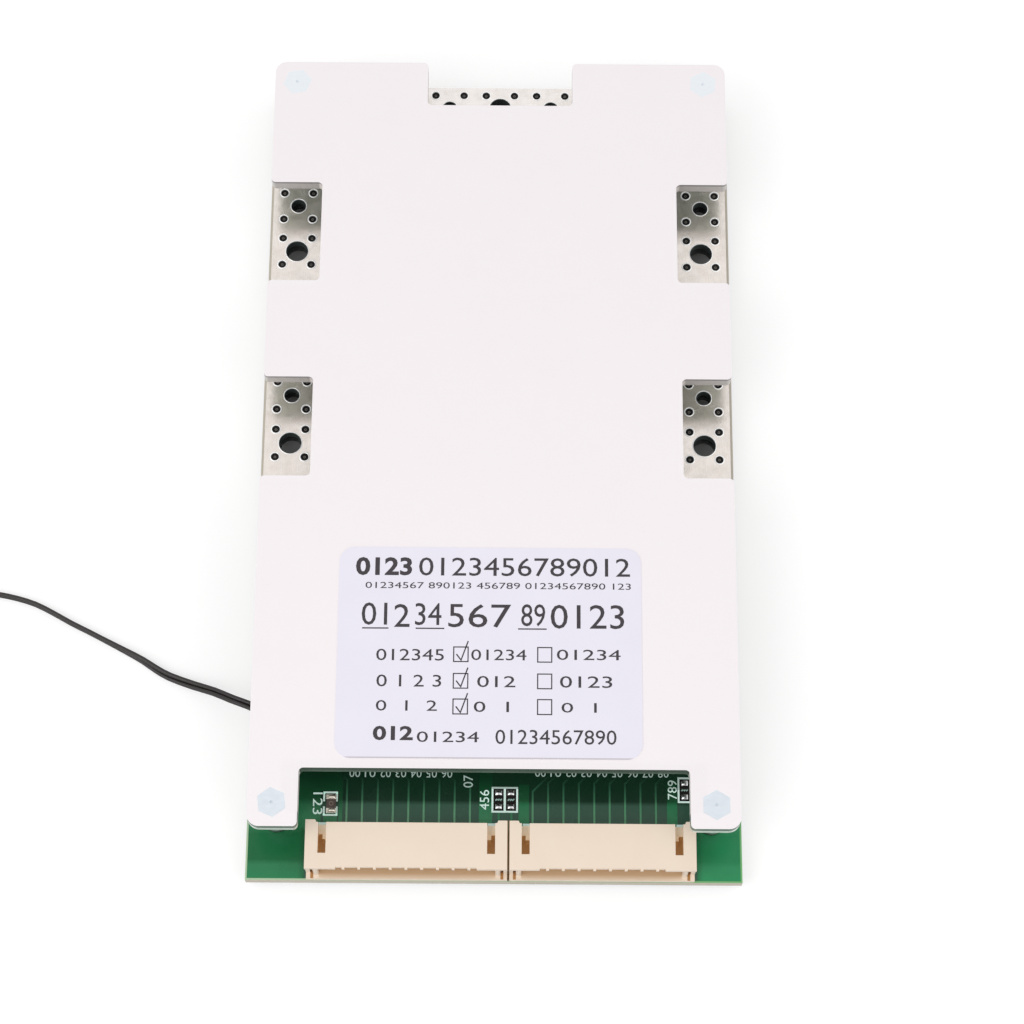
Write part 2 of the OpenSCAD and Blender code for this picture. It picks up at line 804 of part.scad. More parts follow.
// Sweep of a round section along a route: one ring of points at each route point
function direction(p, i) =
    let (a = p[max(i - 1, 0)], b = p[min(i + 1, len(p) - 1)], d = b - a) d / norm(d);
function ring(p, i, r, sides) =
    let (
        t = direction(p, i),
        side = cross(t, [0, 0, 1]) / norm(cross(t, [0, 0, 1])),
        up = cross(side, t)
    )
    [for (k = [0 : sides - 1]) let (a = 360 * k / sides) p[i] + r * (cos(a) * side + sin(a) * up)];

module swept_tube(p, r, sides) {
    n = len(p);
    points = [for (i = [0 : n - 1]) each ring(p, i, r, sides)];
    walls = [for (i = [0 : n - 2], k = [0 : sides - 1])
        let (a = i * sides + k, b = i * sides + (k + 1) % sides)
        each [[a, b, b + sides], [a, b + sides, a + sides]]];
    ends = [
        [for (k = [sides - 1 : -1 : 0]) k],
        [for (k = [0 : sides - 1]) (n - 1) * sides + k]
    ];
    polyhedron(points, concat(walls, ends));
}

module sensor_lead() {
    color([0.12, 0.11, 0.12]) swept_tube(lead_route, lead_r, lead_sides);
}

// The outer shape of the coiled length, with the straight stretch that enters it
module coil_shape() {
    translate([coil_x, coil_y, coil_z]) {
        rotate_extrude() translate([coil_in_r, 0]) square([coil_out_r - coil_in_r, lead_d]);
        translate([0, coil_out_r - lead_d, 0]) cube([coil_entry_l, lead_d, lead_d]);
    }
}

module sensor_lead_coil() {
    color([0.12, 0.11, 0.12]) coil_shape();
}

// A tie round the coil's far side
module coil_tie() {
    color([0.9, 0.9, 0.9]) difference() {
        translate([coil_x - coil_out_r - tie_t, coil_y - tie_w / 2, 0])
            cube([coil_out_r - coil_in_r + 2 * tie_t, tie_w, lead_d + 2 * tie_t]);
        coil_shape();
    }
}

module sensor_bead() {
    color([0.1, 0.1, 0.11]) translate([coil_x - bead_l / 2, bead_y, bead_d / 2])
        rotate([0, 90, 0]) cylinder(h = bead_l, d = bead_d);
}

heatsink_plate();
standoff_rear_left();
standoff_rear_right();
standoff_front_left();
standoff_front_right();
standoff_screws();
circuit_board();
left_busbar();
right_busbar();
rear_busbar();
left_header_housing();
right_header_housing();
left_header_pins();
right_header_pins();
header_solder_joints();
left_mosfet_bodies();
left_mosfet_tabs();
left_mosfet_leads();
right_mosfet_bodies();
right_mosfet_tabs();
right_mosfet_leads();
left_thermal_pad();
right_thermal_pad();
shunt_resistors();
monitor_chips();
monitor_chip_leads();
balance_resistors();
balance_transistors();
balance_transistor_leads();
front_chip_resistor();
jumper_solder();
product_label();
sensor_solder();
sensor_lead();
sensor_lead_coil();
coil_tie();
sensor_bead();
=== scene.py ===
"""Battery management board: the looks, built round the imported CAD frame.

All lengths in this script are written in millimetres and turned into metres
where Blender objects are made. X runs across the board, +Y to its rear, +Z up.
"""
import math

import bmesh
import bpy
from mathutils import Matrix, Vector


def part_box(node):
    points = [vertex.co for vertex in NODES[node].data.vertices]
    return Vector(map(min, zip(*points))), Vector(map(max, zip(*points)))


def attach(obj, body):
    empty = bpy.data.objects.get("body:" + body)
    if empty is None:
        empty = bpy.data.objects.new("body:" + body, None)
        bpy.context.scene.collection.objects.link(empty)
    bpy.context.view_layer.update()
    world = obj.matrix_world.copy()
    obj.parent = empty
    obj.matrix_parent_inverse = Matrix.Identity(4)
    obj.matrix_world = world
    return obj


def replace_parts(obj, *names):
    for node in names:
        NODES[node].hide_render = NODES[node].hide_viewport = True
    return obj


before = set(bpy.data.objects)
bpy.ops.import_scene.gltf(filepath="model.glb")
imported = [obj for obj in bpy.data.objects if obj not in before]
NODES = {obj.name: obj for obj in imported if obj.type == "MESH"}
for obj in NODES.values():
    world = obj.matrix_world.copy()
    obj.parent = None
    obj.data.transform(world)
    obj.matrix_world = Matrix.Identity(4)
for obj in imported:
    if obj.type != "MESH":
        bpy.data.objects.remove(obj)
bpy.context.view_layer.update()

MM = 0.001


def box_mm(node):
    """Lowest and highest corner of a CAD node, in millimetres."""
    lo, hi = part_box(node)
    return lo / MM, hi / MM


BOARD_LO, BOARD_HI = box_mm("circuit_board")
PLATE_LO, PLATE_HI = box_mm("heatsink_plate")
LABEL_LO, LABEL_HI = box_mm("product_label")
DECK = BOARD_HI.z
FRONT_Y = BOARD_LO.y
REAR_Y = BOARD_HI.y
HALF_W = BOARD_HI.x
BARS_LO, BARS_HI = box_mm("right_busbar")
BARE_FROM_X = BARS_HI.x + 0.06
BARS_LO_Y = BARS_LO.y - 0.6
BARS_HI_Y = BARS_HI.y + 0.6
LEG_WALL_Y = PLATE_LO.y + 2
BAY_WALL_Y = PLATE_LO.y + 8.5
HEADERS_X0 = box_mm("left_header_housing")[0].x
HEADERS_X1 = box_mm("right_header_housing")[1].x
HEADER_JOINT_X = (box_mm("left_header_housing")[1].x + box_mm("right_header_housing")[0].x) / 2
# The headers' mouths, as part.scad makes them
POST_W = 1.65
SLIT_W = 0.36
SLIT_FROM_END = 0.75
MOUTH_TOP = DECK + 4.15
MOUTH_FOOT = DECK + 0.65
SLIT_FOOT = DECK + 0.2
POSTS_REAR_Y = FRONT_Y + 0.98
NYLON_GLOW = 0.14
SLITS_X = [
    edge for node in ("left_header_housing", "right_header_housing")
    for edge in (box_mm(node)[0].x + SLIT_FROM_END, box_mm(node)[1].x - SLIT_FROM_END)]
# In front of this line the board is lit past the heatsink, and the light fades over a short step
LIT_TO_Y = FRONT_Y + 10.3
LIT_FADE = 0.3


# ---- Colours and materials ----

def rgb(r, g, b):
    """An sRGB colour of 0 to 255 as linear RGBA."""
    def linear(v):
        v /= 255
        return v / 12.92 if v <= 0.04045 else ((v + 0.055) / 1.055) ** 2.4
    return (linear(r), linear(g), linear(b), 1.0)


class Look:
    """A Principled material with small helpers for its procedural nodes."""

    def __init__(self, name, colour, roughness, metallic=0.0, **inputs):
        self.material = bpy.data.materials.new(name)
        self.material.use_nodes = True
        self.tree = self.material.node_tree
        self.shader = self.tree.nodes["Principled BSDF"]
        self.set("Base Color", colour)
        self.set("Roughness", roughness)
        self.set("Metallic", metallic)
        for key, value in inputs.items():
            self.set(key.replace("_", " "), value)
        self.material.diffuse_color = colour

    def set(self, key, value):
        self.shader.inputs[key].default_value = value

    def node(self, kind, **values):
        made = self.tree.nodes.new(kind)
        for key, value in values.items():
            made.inputs[key].default_value = value
        return made

    def link(self, source, target):
        self.tree.links.new(source, target)

    def place(self, stretch=(1, 1, 1)):
        """Object coordinates in metres, stretched along the axes."""
        where = self.tree.nodes.new("ShaderNodeTexCoord")
        mapping = self.tree.nodes.new("ShaderNodeMapping")
        mapping.inputs["Scale"].default_value = stretch
        self.link(where.outputs["Object"], mapping.inputs["Vector"])
        return mapping.outputs["Vector"]

    def noise(self, size_mm, stretch=(1, 1, 1), detail=3.0, rough=0.5):
        """Noise whose features are about size_mm across."""
        made = self.node("ShaderNodeTexNoise", Scale=1 / (size_mm * MM), Detail=detail, Roughness=rough)
        self.link(self.place(stretch), made.inputs["Vector"])
        return made.outputs["Fac"]

    def ramp(self, value, stops):
        """A colour ramp over value; stops are (position, colour)."""
        made = self.tree.nodes.new("ShaderNodeValToRGB")
        band = made.color_ramp
        while len(band.elements) < len(stops):
            band.elements.new(0.5)
        for element, (position, colour) in zip(band.elements, stops):
            element.position = position
            element.color = colour
        self.link(value, made.inputs["Fac"])
        return made.outputs["Color"]

    def span(self, value, low, high, lo=0.3, hi=0.7):
        """value between lo and hi, mapped to low and high."""
        made = self.node("ShaderNodeMapRange", **{
            "From Min": lo, "From Max": hi, "To Min": low, "To Max": high})
        self.link(value, made.inputs["Value"])
        return made.outputs["Result"]

    def mix(self, fac, a, b):
        """Mixes two colours; each is a socket or a colour."""
        made = self.tree.nodes.new("ShaderNodeMix")
        made.data_type = "RGBA"
        for socket, value in ((made.inputs[6], a), (made.inputs[7], b)):
            if isinstance(value, tuple):
                socket.default_value = value
            else:
                self.link(value, socket)
        self.link(fac, made.inputs[0])
        return made.outputs[2]

    def colour(self, socket):
        self.link(socket, self.shader.inputs["Base Color"])

    def rough(self, socket):
        self.link(socket, self.shader.inputs["Roughness"])

    def metal(self, socket):
        self.link(socket, self.shader.inputs["Metallic"])

    def glow(self, socket, colour):
        self.set("Emission Color", colour)
        self.link(socket, self.shader.inputs["Emission Strength"])

    def bump(self, socket, depth_mm, strength=1.0):
        made = self.node("ShaderNodeBump", Strength=strength, Distance=depth_mm * MM)
        self.link(socket, made.inputs["Height"])
        previous = self.shader.inputs["Normal"]
        if previous.is_linked:
            self.link(previous.links[0].from_socket, made.inputs["Normal"])
        self.link(made.outputs["Normal"], previous)

    def both(self, a, b):
        """The product of a mask and another mask or a number."""
        return self.math("MULTIPLY", a, b)

    def math(self, operation, a, b=0.0):
        """A math node; a is a socket, b a socket or a number."""
        made = self.tree.nodes.new("ShaderNodeMath")
        made.operation = operation
        self.link(a, made.inputs[0])
        if isinstance(b, (int, float)):
            made.inputs[1].default_value = b
        else:
            self.link(b, made.inputs[1])
        return made.outputs[0]

    def facing(self):
        """How far a face looks up: 1 for up, 0 for upright, -1 for down."""
        geometry = self.tree.nodes.new("ShaderNodeNewGeometry")
        parts = self.tree.nodes.new("ShaderNodeSeparateXYZ")
        self.link(geometry.outputs["True Normal"], parts.inputs["Vector"])
        return parts.outputs["Z"]

    def upward(self, low=0.5, high=0.9):
        """1 on faces that look up or down, 0 on upright ones."""
        return self.span(self.math("ABSOLUTE", self.facing()), 0.0, 1.0, low, high)

    def xyz(self):
        """The place on the part, in millimetres, as three sockets."""
        parts = self.tree.nodes.new("ShaderNodeSeparateXYZ")
        self.link(self.place((1 / MM, 1 / MM, 1 / MM)), parts.inputs["Vector"])
        return parts.outputs["X"], parts.outputs["Y"], parts.outputs["Z"]

    def inside(self, value, low, high):
        """1 where value lies between low and high, otherwise 0."""
        return self.both(self.math("GREATER_THAN", value, low), self.math("LESS_THAN", value, high))

    def lit(self, y):
        """1 where the board is lit in front of the heatsink, 0 behind it."""
        return self.span(y, 1, 0, LIT_TO_Y - LIT_FADE, LIT_TO_Y + LIT_FADE)


def make_plate():
    look = Look("plate_aluminium", rgb(244, 238, 240), 0.5, 0.25)
    grain = look.noise(0.22, detail=2)
    cloud = look.noise(9, detail=4)
    face = look.mix(cloud, rgb(246, 240, 242), rgb(242, 236, 238))
    speck = look.mix(look.span(grain, 0, 1, 0.64, 0.85), face, rgb(232, 225, 227))
    facing = look.facing()
    x, y, z = look.xyz()
    milled = look.mix(look.noise(0.5, (1, 1, 6)), rgb(216, 212, 209), rgb(190, 186, 183))
    # Painted shadow: the top 0.4 mm of the walls, under the rounded edge, is darker grey
    wall = look.mix(look.span(z, 0, 1, PLATE_HI.z - 0.5, PLATE_HI.z - 0.4), milled, rgb(158, 154, 156))
    # Painted light and reflection on the walls: the legs' inner sides are painted bright, the bay's wall is
    # painted darker green-grey as the board's reflection, and the legs' ends are painted white low down
    # under a darker green-grey top, the board's reflection
    between_legs = look.both(look.inside(y, LEG_WALL_Y, BAY_WALL_Y), look.inside(x, -27, 27))
    wall = look.mix(between_legs, wall, rgb(240, 238, 236))
    bay = look.mix(look.span(z, 0, 1, PLATE_LO.z + 0.3, PLATE_LO.z + 1), rgb(100, 118, 106), rgb(72, 88, 80))
    on_bay_wall = look.both(between_legs, look.math("GREATER_THAN", y, BAY_WALL_Y - 1.2))
    wall = look.mix(on_bay_wall, wall, bay)
    # Painted highlight low on the leg ends, under a painted reflection of the board
    end_top = look.span(z, 0, 1, PLATE_LO.z + 0.8, PLATE_LO.z + 1)
    leg_end = look.mix(end_top, rgb(226, 234, 228), rgb(120, 134, 126))
    wall = look.mix(look.math("LESS_THAN", y, LEG_WALL_Y), wall, leg_end)
    # The underside: mottled stains, partly painted shade, between pale and green-grey
    stain = look.span(look.noise(1.4, detail=5, rough=0.65), 0, 1)
    dull = look.mix(stain, rgb(236, 240, 232), rgb(168, 178, 164))
    side = look.mix(look.span(facing, 0, 1, -0.9, -0.8), dull, wall)
    # Painted highlight: the rounded edges are near white
    painted_bevel_highlight = look.mix(look.span(facing, 0, 1, 0.15, 0.3), side, rgb(255, 254, 254))
    top = look.span(facing, 0, 1, 0.97, 0.99)
    look.colour(look.mix(top, painted_bevel_highlight, speck))
    polish = look.span(facing, 0.75, 0.2, 0.1, 0.4)
    look.metal(look.both(polish, look.span(between_legs, 1, 0.1, 0, 1)))
    look.rough(look.span(cloud, 0.44, 0.6))
    look.bump(grain, 0.01, 0.4)
    return look.material


def make_zinc(name, colour, tint):
    """Plated steel, with painted shade at its foot on the board and painted light towards the rear."""
    look = Look(name, colour, 0.36, 0.55)
    smear = look.noise(0.8, (1, 2.5, 1), detail=4)
    _, y, z = look.xyz()
    # Painted shade at the foot on the board, painted light towards the rear
    foot = look.both(look.math("GREATER_THAN", z, DECK), look.span(z, 1, 0, DECK + 0.5, DECK + 1.5))
    rear = look.span(y, 0, 0.45, -40, 40)
    body = look.mix(rear, look.mix(smear, colour, tint), rgb(250, 252, 255))
    look.colour(look.mix(foot, body, rgb(84, 98, 90)))
    look.rough(look.span(smear, 0.28, 0.45))
    look.bump(look.noise(0.12), 0.006, 0.5)
    return look.material


def make_board():
    look = Look("board_mask", rgb(24, 78, 50), 0.27, 0.0, Specular_IOR_Level=0.3)
    x, y, _ = look.xyz()
    cloud = look.noise(5, detail=3)
    mask = look.mix(cloud, rgb(18, 50, 33), rgb(22, 56, 38))
    lit = look.mix(cloud, rgb(60, 98, 80), rgb(55, 92, 74))
    mask = look.mix(look.lit(y), mask, lit)
    # The mask lets light through along the board's cut edges
    across = look.math("ABSOLUTE", x)
    rim = look.math("MAXIMUM", look.span(across, 0, 1, HALF_W - 0.3, HALF_W - 0.2),
                    look.span(y, 1, 0, FRONT_Y + 0.18, FRONT_Y + 0.28))
    mask = look.mix(rim, mask, look.mix(look.span(x, 0, 1, -20, 20), rgb(178, 204, 168), rgb(116, 180, 116)))
    # Bare laminate outside the side bars
    beside = look.both(look.math("GREATER_THAN", across, BARE_FROM_X), look.inside(y, BARS_LO_Y, BARS_HI_Y))
    mask = look.mix(beside, mask, rgb(222, 214, 198))
    weave = look.noise(0.35, (1, 8, 1), detail=1)
    glass = look.mix(weave, rgb(196, 186, 164), rgb(172, 160, 134))
    # The holes' walls are plated; their dark colour is painted shade, the walls reflecting the shaded floor
    # under the board
    in_hole = look.both(
        look.math("LESS_THAN", across, HALF_W - 0.2), look.inside(y, FRONT_Y + 0.2, REAR_Y - 0.2))
    wall = look.mix(in_hole, glass, rgb(52, 56, 54))
    look.colour(look.mix(look.upward(), wall, mask))
    look.rough(look.span(cloud, 0.2, 0.3))
    look.bump(look.noise(0.3, (1, 1, 1), detail=2), 0.004, 0.6)
    return look.material


def make_copper_under_mask(name, stops):
    """Solder mask over copper, with light and shade painted along y; stops are (y, colour) from the front to
    the rear.
    """
    look = Look(name, stops[0][1], 0.25, 0.0, Specular_IOR_Level=0.3)
    cloud = look.noise(4, detail=3)
    first, last = stops[0][0], stops[-1][0]
    x, y, _ = look.xyz()
    along = look.span(y, 0, 1, first, last)
    tone = look.ramp(along, [((at - first) / (last - first), colour) for at, colour in stops])
    # Brighter to the right, where it is lit
    right = look.both(look.span(x, 0, 0.5, -20, 30), look.lit(y))
    tone = look.mix(right, tone, rgb(42, 152, 98))
    tone = look.mix(look.span(cloud, 0, 0.15), tone, rgb(16, 60, 38))
    # Shade close beside the headers
    past_middle = look.math("ABSOLUTE", look.math("SUBTRACT", x, (HEADERS_X0 + HEADERS_X1) / 2))
    half = (HEADERS_X1 - HEADERS_X0) / 2
    beside = look.both(look.inside(past_middle, half, half + 1.2), look.math("LESS_THAN", y, FRONT_Y + 6.8))
    shade = look.both(beside, look.span(past_middle, 0.55, 0, half, half + 1.2))
    look.colour(look.mix(shade, tone, rgb(24, 48, 30)))
    look.rough(look.span(cloud, 0.2, 0.3))
    look.bump(look.noise(0.3, detail=2), 0.004, 0.6)
    return look.material


def make_tinned_bar(name, along):
    """Tinned copper, brushed along one axis, with a few scratches and dull patches."""
    if along == "y":
        brush = (1, 0.04, 1)
        light = rgb(246, 239, 233)
        dark = rgb(225, 216, 209)
    else:
        brush = (0.04, 1, 1)
        light = rgb(253, 248, 245)
        dark = rgb(238, 231, 227)
    look = Look(name, rgb(236, 230, 225), 0.22, 1.0)
    streak = look.noise(0.07, brush, detail=3)
    patch = look.noise(1.6, detail=4)
    scratch = look.noise(0.5, (1, 0.3, 1), detail=6, rough=0.7)
    metal = look.mix(streak, light, dark)
    worn = look.mix(look.span(patch, 0, 0.5, 0.45, 0.75), metal, rgb(220, 211, 201))
    marked = look.mix(look.span(scratch, 0, 0.7, 0.66, 0.72), worn, rgb(250, 247, 244))
    # Painted shade: the bars' upright walls, the holes' walls among them, are dark grey
    look.colour(look.mix(look.upward(), rgb(74, 72, 68), marked))
    look.rough(look.span(patch, 0.15, 0.27))
    look.metal(look.span(look.noise(1.8, detail=2), 0.95, 0.7))
    look.bump(streak, 0.004, 0.5)
    look.bump(look.noise(1.1, detail=4, rough=0.6), 0.03, 0.45)
    return look.material


def make_bright_rim():
    look = Look("tin_rim_painted_glow", rgb(252, 252, 252), 0.3, 0.5)
    smear = look.noise(0.3, detail=3)
    look.colour(look.mix(smear, rgb(255, 255, 255), rgb(242, 241, 240)))
    # A glow, painted light: the rims shine brighter than their lighting
    look.set("Emission Color", (1, 1, 1, 1))
    look.set("Emission Strength", 0.12)
    look.bump(smear, 0.01, 0.5)
    return look.material


def make_ivory():
    look = Look("header_ivory", rgb(240, 222, 202), 0.42, 0.0)
    x, y, z = look.xyz()
    cloud = look.noise(4, detail=4)
    smudge = look.noise(1.3, (1, 1.8, 1), detail=6, rough=0.65)
    body = look.mix(cloud, rgb(243, 226, 208), rgb(239, 220, 199))
    body = look.mix(look.span(smudge, 0, 0.45, 0.68, 0.82), body, rgb(200, 182, 162))
    # Painted shade: the nylon turns browner and darker with depth in the mouth, standing in for its shade
    # and the light bounced inside it
    front = look.span(y, 0, 1, FRONT_Y + 0.15, FRONT_Y + 0.8)
    shallow = look.mix(front, rgb(238, 218, 194), rgb(212, 180, 142))
    rear = look.span(y, 0, 1, FRONT_Y + 1.2, FRONT_Y + 3)
    deep = look.mix(rear, shallow, rgb(190, 138, 86))
    behind_posts = look.inside(x, HEADERS_X0 + 0.05, HEADERS_X1 - 0.05)
    past_joint = look.math("ABSOLUTE", look.math("SUBTRACT", x, HEADER_JOINT_X))
    between_posts = look.both(
        look.inside(x, HEADERS_X0 + POST_W, HEADERS_X1 - POST_W),
        look.math("GREATER_THAN", past_joint, POST_W))
    across = look.math(
        "MAXIMUM", between_posts, look.both(behind_posts, look.math("GREATER_THAN", y, POSTS_REAR_Y)))
    in_mouth = look.both(across, look.both(
        look.inside(z, MOUTH_FOOT, MOUTH_TOP), look.inside(y, FRONT_Y + 0.1, FRONT_Y + 5.3)))
    body = look.mix(in_mouth, body, deep)
    # Painted light: the slots' rear ledge is lightened against its shade
    ledge = look.both(look.inside(z, DECK + 3.28, DECK + 3.32), look.math("GREATER_THAN", y, FRONT_Y + 4.6))
    body = look.mix(ledge, body, rgb(255, 240, 214))
    # Painted shade: the slits' floors and walls are brown
    in_slits = look.both(look.inside(y, FRONT_Y + 0.1, FRONT_Y + 1.7), look.inside(z, SLIT_FOOT, MOUTH_TOP))
    half_slit = SLIT_W / 2 + 0.01
    for slit_x in SLITS_X:
        in_slit = look.both(in_slits, look.inside(x, slit_x - half_slit, slit_x + half_slit))
        body = look.mix(in_slit, body, rgb(176, 126, 74))
    # Painted shade: the joint between the headers is drawn by a dark colour beside the real gap
    joint = look.inside(x, HEADER_JOINT_X - 0.15, HEADER_JOINT_X + 0.15)
    look.colour(look.mix(joint, body, rgb(128, 98, 64)))
    # A glow, painted light, stands in for light that thin nylon lets through to the slots' depth
    look.glow(look.both(look.both(in_mouth, rear), NYLON_GLOW), rgb(200, 160, 100))
    look.rough(look.span(smudge, 0.36, 0.5))
    look.bump(look.noise(0.15, detail=2), 0.006, 0.6)
    return look.material


def make_solder():
    look = Look("solder", rgb(216, 216, 218), 0.2, 1.0)
    ripple = look.noise(0.35, detail=3)
    look.colour(look.mix(ripple, rgb(232, 232, 234), rgb(184, 184, 186)))
    look.rough(look.span(ripple, 0.12, 0.3))
    look.bump(ripple, 0.05, 0.6)
    return look.material


def make_chip_end():
    look = Look("chip_end_tin", rgb(228, 222, 208), 0.25, 0.85)
    smear = look.noise(0.3, (1, 3, 1), detail=3)
    look.colour(look.mix(smear, rgb(244, 238, 228), rgb(206, 194, 178)))
    look.rough(look.span(smear, 0.18, 0.34))
    look.bump(smear, 0.02, 0.5)
    return look.material


def make_lead():
    look = Look("tinned_leads", rgb(206, 203, 198), 0.3, 0.95)
    streak = look.noise(0.15, (0.2, 1, 1), detail=3)
    look.colour(look.mix(streak, rgb(218, 215, 210), rgb(182, 179, 172)))
    look.rough(look.span(streak, 0.24, 0.4))
    return look.material


def make_epoxy(name, colour, tint, roughness, shine=0.5):
    look = Look(name, colour, roughness, 0.0, Specular_IOR_Level=shine)
    grain = look.noise(0.1, detail=2)
    look.colour(look.mix(grain, colour, tint))
    look.rough(look.span(grain, roughness - 0.06, roughness + 0.1))
    look.bump(grain, 0.008, 0.6)
    return look.material


def make_pad():
    look = Look("thermal_pad", rgb(150, 170, 190), 0.7, 0.0)
    speck = look.noise(0.4, detail=4)
    look.colour(look.mix(speck, rgb(140, 162, 184), rgb(170, 186, 202)))
    look.bump(look.noise(0.8, detail=3), 0.05, 0.6)
    return look.material


def make_paper():
    look = Look("label_paper", rgb(238, 235, 246), 0.38, 0.0)
    cloud = look.noise(6, detail=3)
    paper = look.mix(cloud, rgb(239, 236, 247), rgb(233, 230, 242))
    # Painted shadow: a grey line along the front edge
    front = look.span(look.xyz()[1], 1, 0, LABEL_LO.y + 0.08, LABEL_LO.y + 0.2)
    look.colour(look.mix(front, paper, rgb(196, 191, 198)))
    look.bump(look.noise(0.25, detail=3), 0.004, 0.5)
    look.rough(look.span(cloud, 0.34, 0.46))
    return look.material


def make_ink(name, colour, tint, glow=0.0):
    # A glow, painted light, brightens the print where glow is set
    look = Look(name, colour, 0.55, 0.0, Emission_Strength=glow)
    look.set("Emission Color", colour)
    fade = look.noise(0.25, detail=4)
    # Painted shade close under the heatsink's bay
    _, y, z = look.xyz()
    near_wall = look.inside(y, BAY_WALL_Y - 1, BAY_WALL_Y + 3)
    shade = look.both(near_wall, look.math("LESS_THAN", z, DECK + 1))
    look.colour(look.mix(look.both(shade, 0.6), look.mix(fade, colour, tint), rgb(60, 78, 70)))
    return look.material


def make_cable():
    look = Look("lead_jacket", rgb(38, 33, 34), 0.42, 0.0)
    scuff = look.noise(0.5, detail=4)
    look.colour(look.mix(scuff, rgb(24, 19, 20), rgb(44, 36, 36)))
    look.rough(look.span(scuff, 0.34, 0.52))
    look.bump(look.noise(0.12, detail=2), 0.006, 0.5)
    return look.material


def make_nylon():
    look = Look("tie_nylon", rgb(226, 226, 222), 0.4, 0.0)
    cloud = look.noise(0.6, detail=3)
    look.colour(look.mix(cloud, rgb(232, 232, 228), rgb(212, 212, 206)))
    look.bump(look.noise(0.3, (1, 6, 1)), 0.02, 0.5)
    return look.material


MATERIALS = {
    "plate": make_plate(),
    "standoff": make_zinc("standoff_zinc", rgb(214, 222, 230), rgb(224, 230, 236)),
    "screw": make_zinc("screw_zinc", rgb(196, 200, 206), rgb(176, 180, 188)),
    "board": make_board(),
    # Light and shade painted along y: lighter along the front 2 mm, darker behind, lit towards the heatsink
    # and shaded under it
    "copper": make_copper_under_mask("mask_over_copper", [
        (FRONT_Y, rgb(38, 130, 82)), (FRONT_Y + 2, rgb(44, 126, 82)), (FRONT_Y + 2.7, rgb(18, 102, 58)),
        (FRONT_Y + 6, rgb(20, 104, 60)), (LIT_TO_Y - 2, rgb(62, 140, 96)),
        (LIT_TO_Y - 0.4, rgb(48, 122, 82)), (LIT_TO_Y + 0.4, rgb(26, 86, 52)),
        (LIT_TO_Y + 3.5, rgb(17, 58, 35))]),
    # Light and shade painted along y: the traces are lit in front of the heatsink and shaded under it
    "trace": make_copper_under_mask("mask_over_traces", [
        (LIT_TO_Y - 2.5, rgb(122, 180, 140)), (LIT_TO_Y - 0.3, rgb(104, 162, 124)),
        (LIT_TO_Y + 0.3, rgb(64, 120, 88)), (LIT_TO_Y + 2, rgb(46, 92, 68)),
        (LIT_TO_Y + 3.4, rgb(26, 58, 42))]),
    "side_bar": make_tinned_bar("tinned_side_bar", "y"),
    "rear_bar": make_tinned_bar("tinned_rear_bar", "x"),
    "rim": make_bright_rim(),
    "ivory": make_ivory(),
    "solder": make_solder(),
    "chip_end": make_chip_end(),
    "lead": make_lead(),
    "dull_lead": make_epoxy("dull_lead", rgb(104, 100, 96), rgb(124, 119, 114), 0.4),
    "epoxy": make_epoxy("epoxy_black", rgb(36, 36, 38), rgb(50, 50, 52), 0.5),
    "flux": make_epoxy("flux_black", rgb(22, 20, 19), rgb(34, 31, 29), 0.6, 0.15),
    "shade_lining": make_epoxy("hole_shade_lining", rgb(54, 63, 61), rgb(76, 86, 83), 0.4),
    "chip_body": make_epoxy("chip_body", rgb(78, 64, 60), rgb(98, 82, 76), 0.35),
    "resistor": make_epoxy("resistor_glaze", rgb(30, 30, 33), rgb(44, 44, 48), 0.3),
    "pad": make_pad(),
    "paper": make_paper(),
    "ink": make_ink("label_ink", rgb(40, 34, 38), rgb(62, 56, 61)),
    # The silkscreen's glow is painted light that brightens it
    "silk": make_ink("silkscreen", rgb(232, 255, 248), rgb(212, 244, 232), 0.16),
    "teal": make_ink("teal_print", rgb(196, 226, 218), rgb(150, 192, 184)),
    "body_ring": make_ink("body_print", rgb(156, 134, 120), rgb(138, 118, 106)),
    "cable": make_cable(),
    "nylon": make_nylon(),
}

NODE_LOOKS = {
    "heatsink_plate": "plate",
    "standoff_rear_left": "standoff", "standoff_rear_right": "standoff",
    "standoff_front_left": "standoff", "standoff_front_right": "standoff",
    "standoff_screws": "screw", "circuit_board": "board",
    "left_busbar": "side_bar", "right_busbar": "side_bar", "rear_busbar": "rear_bar",
    "left_header_housing": "ivory", "right_header_housing": "ivory",
    "left_header_pins": "lead", "right_header_pins": "lead", "header_solder_joints": "solder",
    "left_mosfet_bodies": "epoxy", "right_mosfet_bodies": "epoxy",
    "left_mosfet_tabs": "lead", "right_mosfet_tabs": "lead",
    "left_mosfet_leads": "lead", "right_mosfet_leads": "lead",
    "left_thermal_pad": "pad", "right_thermal_pad": "pad",
    "shunt_resistors": "resistor", "monitor_chips": "epoxy", "monitor_chip_leads": "lead",
    "balance_resistors": "resistor", "balance_transistors": "epoxy",
    "balance_transistor_leads": "lead", "front_chip_resistor": "chip_body",
    "jumper_solder": "solder", "product_label": "paper", "sensor_solder": "solder",
    "sensor_lead": "cable", "sensor_lead_coil": "cable",
    "coil_tie": "nylon", "sensor_bead": "epoxy",
}

# Width in mm of the rounding on the edges of a CAD node
NODE_BEVELS = {
    "heatsink_plate": 0.22, "circuit_board": 0.05,
    "left_busbar": 0.1, "right_busbar": 0.1, "rear_busbar": 0.1,
    "left_header_housing": 0.06, "right_header_housing": 0.06,
    "left_mosfet_bodies": 0.15, "right_mosfet_bodies": 0.15,
    "left_thermal_pad": 0.3, "right_thermal_pad": 0.3,
    "monitor_chips": 0.12, "balance_transistors": 0.08,
    "shunt_resistors": 0.06, "balance_resistors": 0.06, "front_chip_resistor": 0.05,
    "jumper_solder": 0.09, "sensor_bead": 0.7, "coil_tie": 0.1, "standoff_screws": 0.25,
}


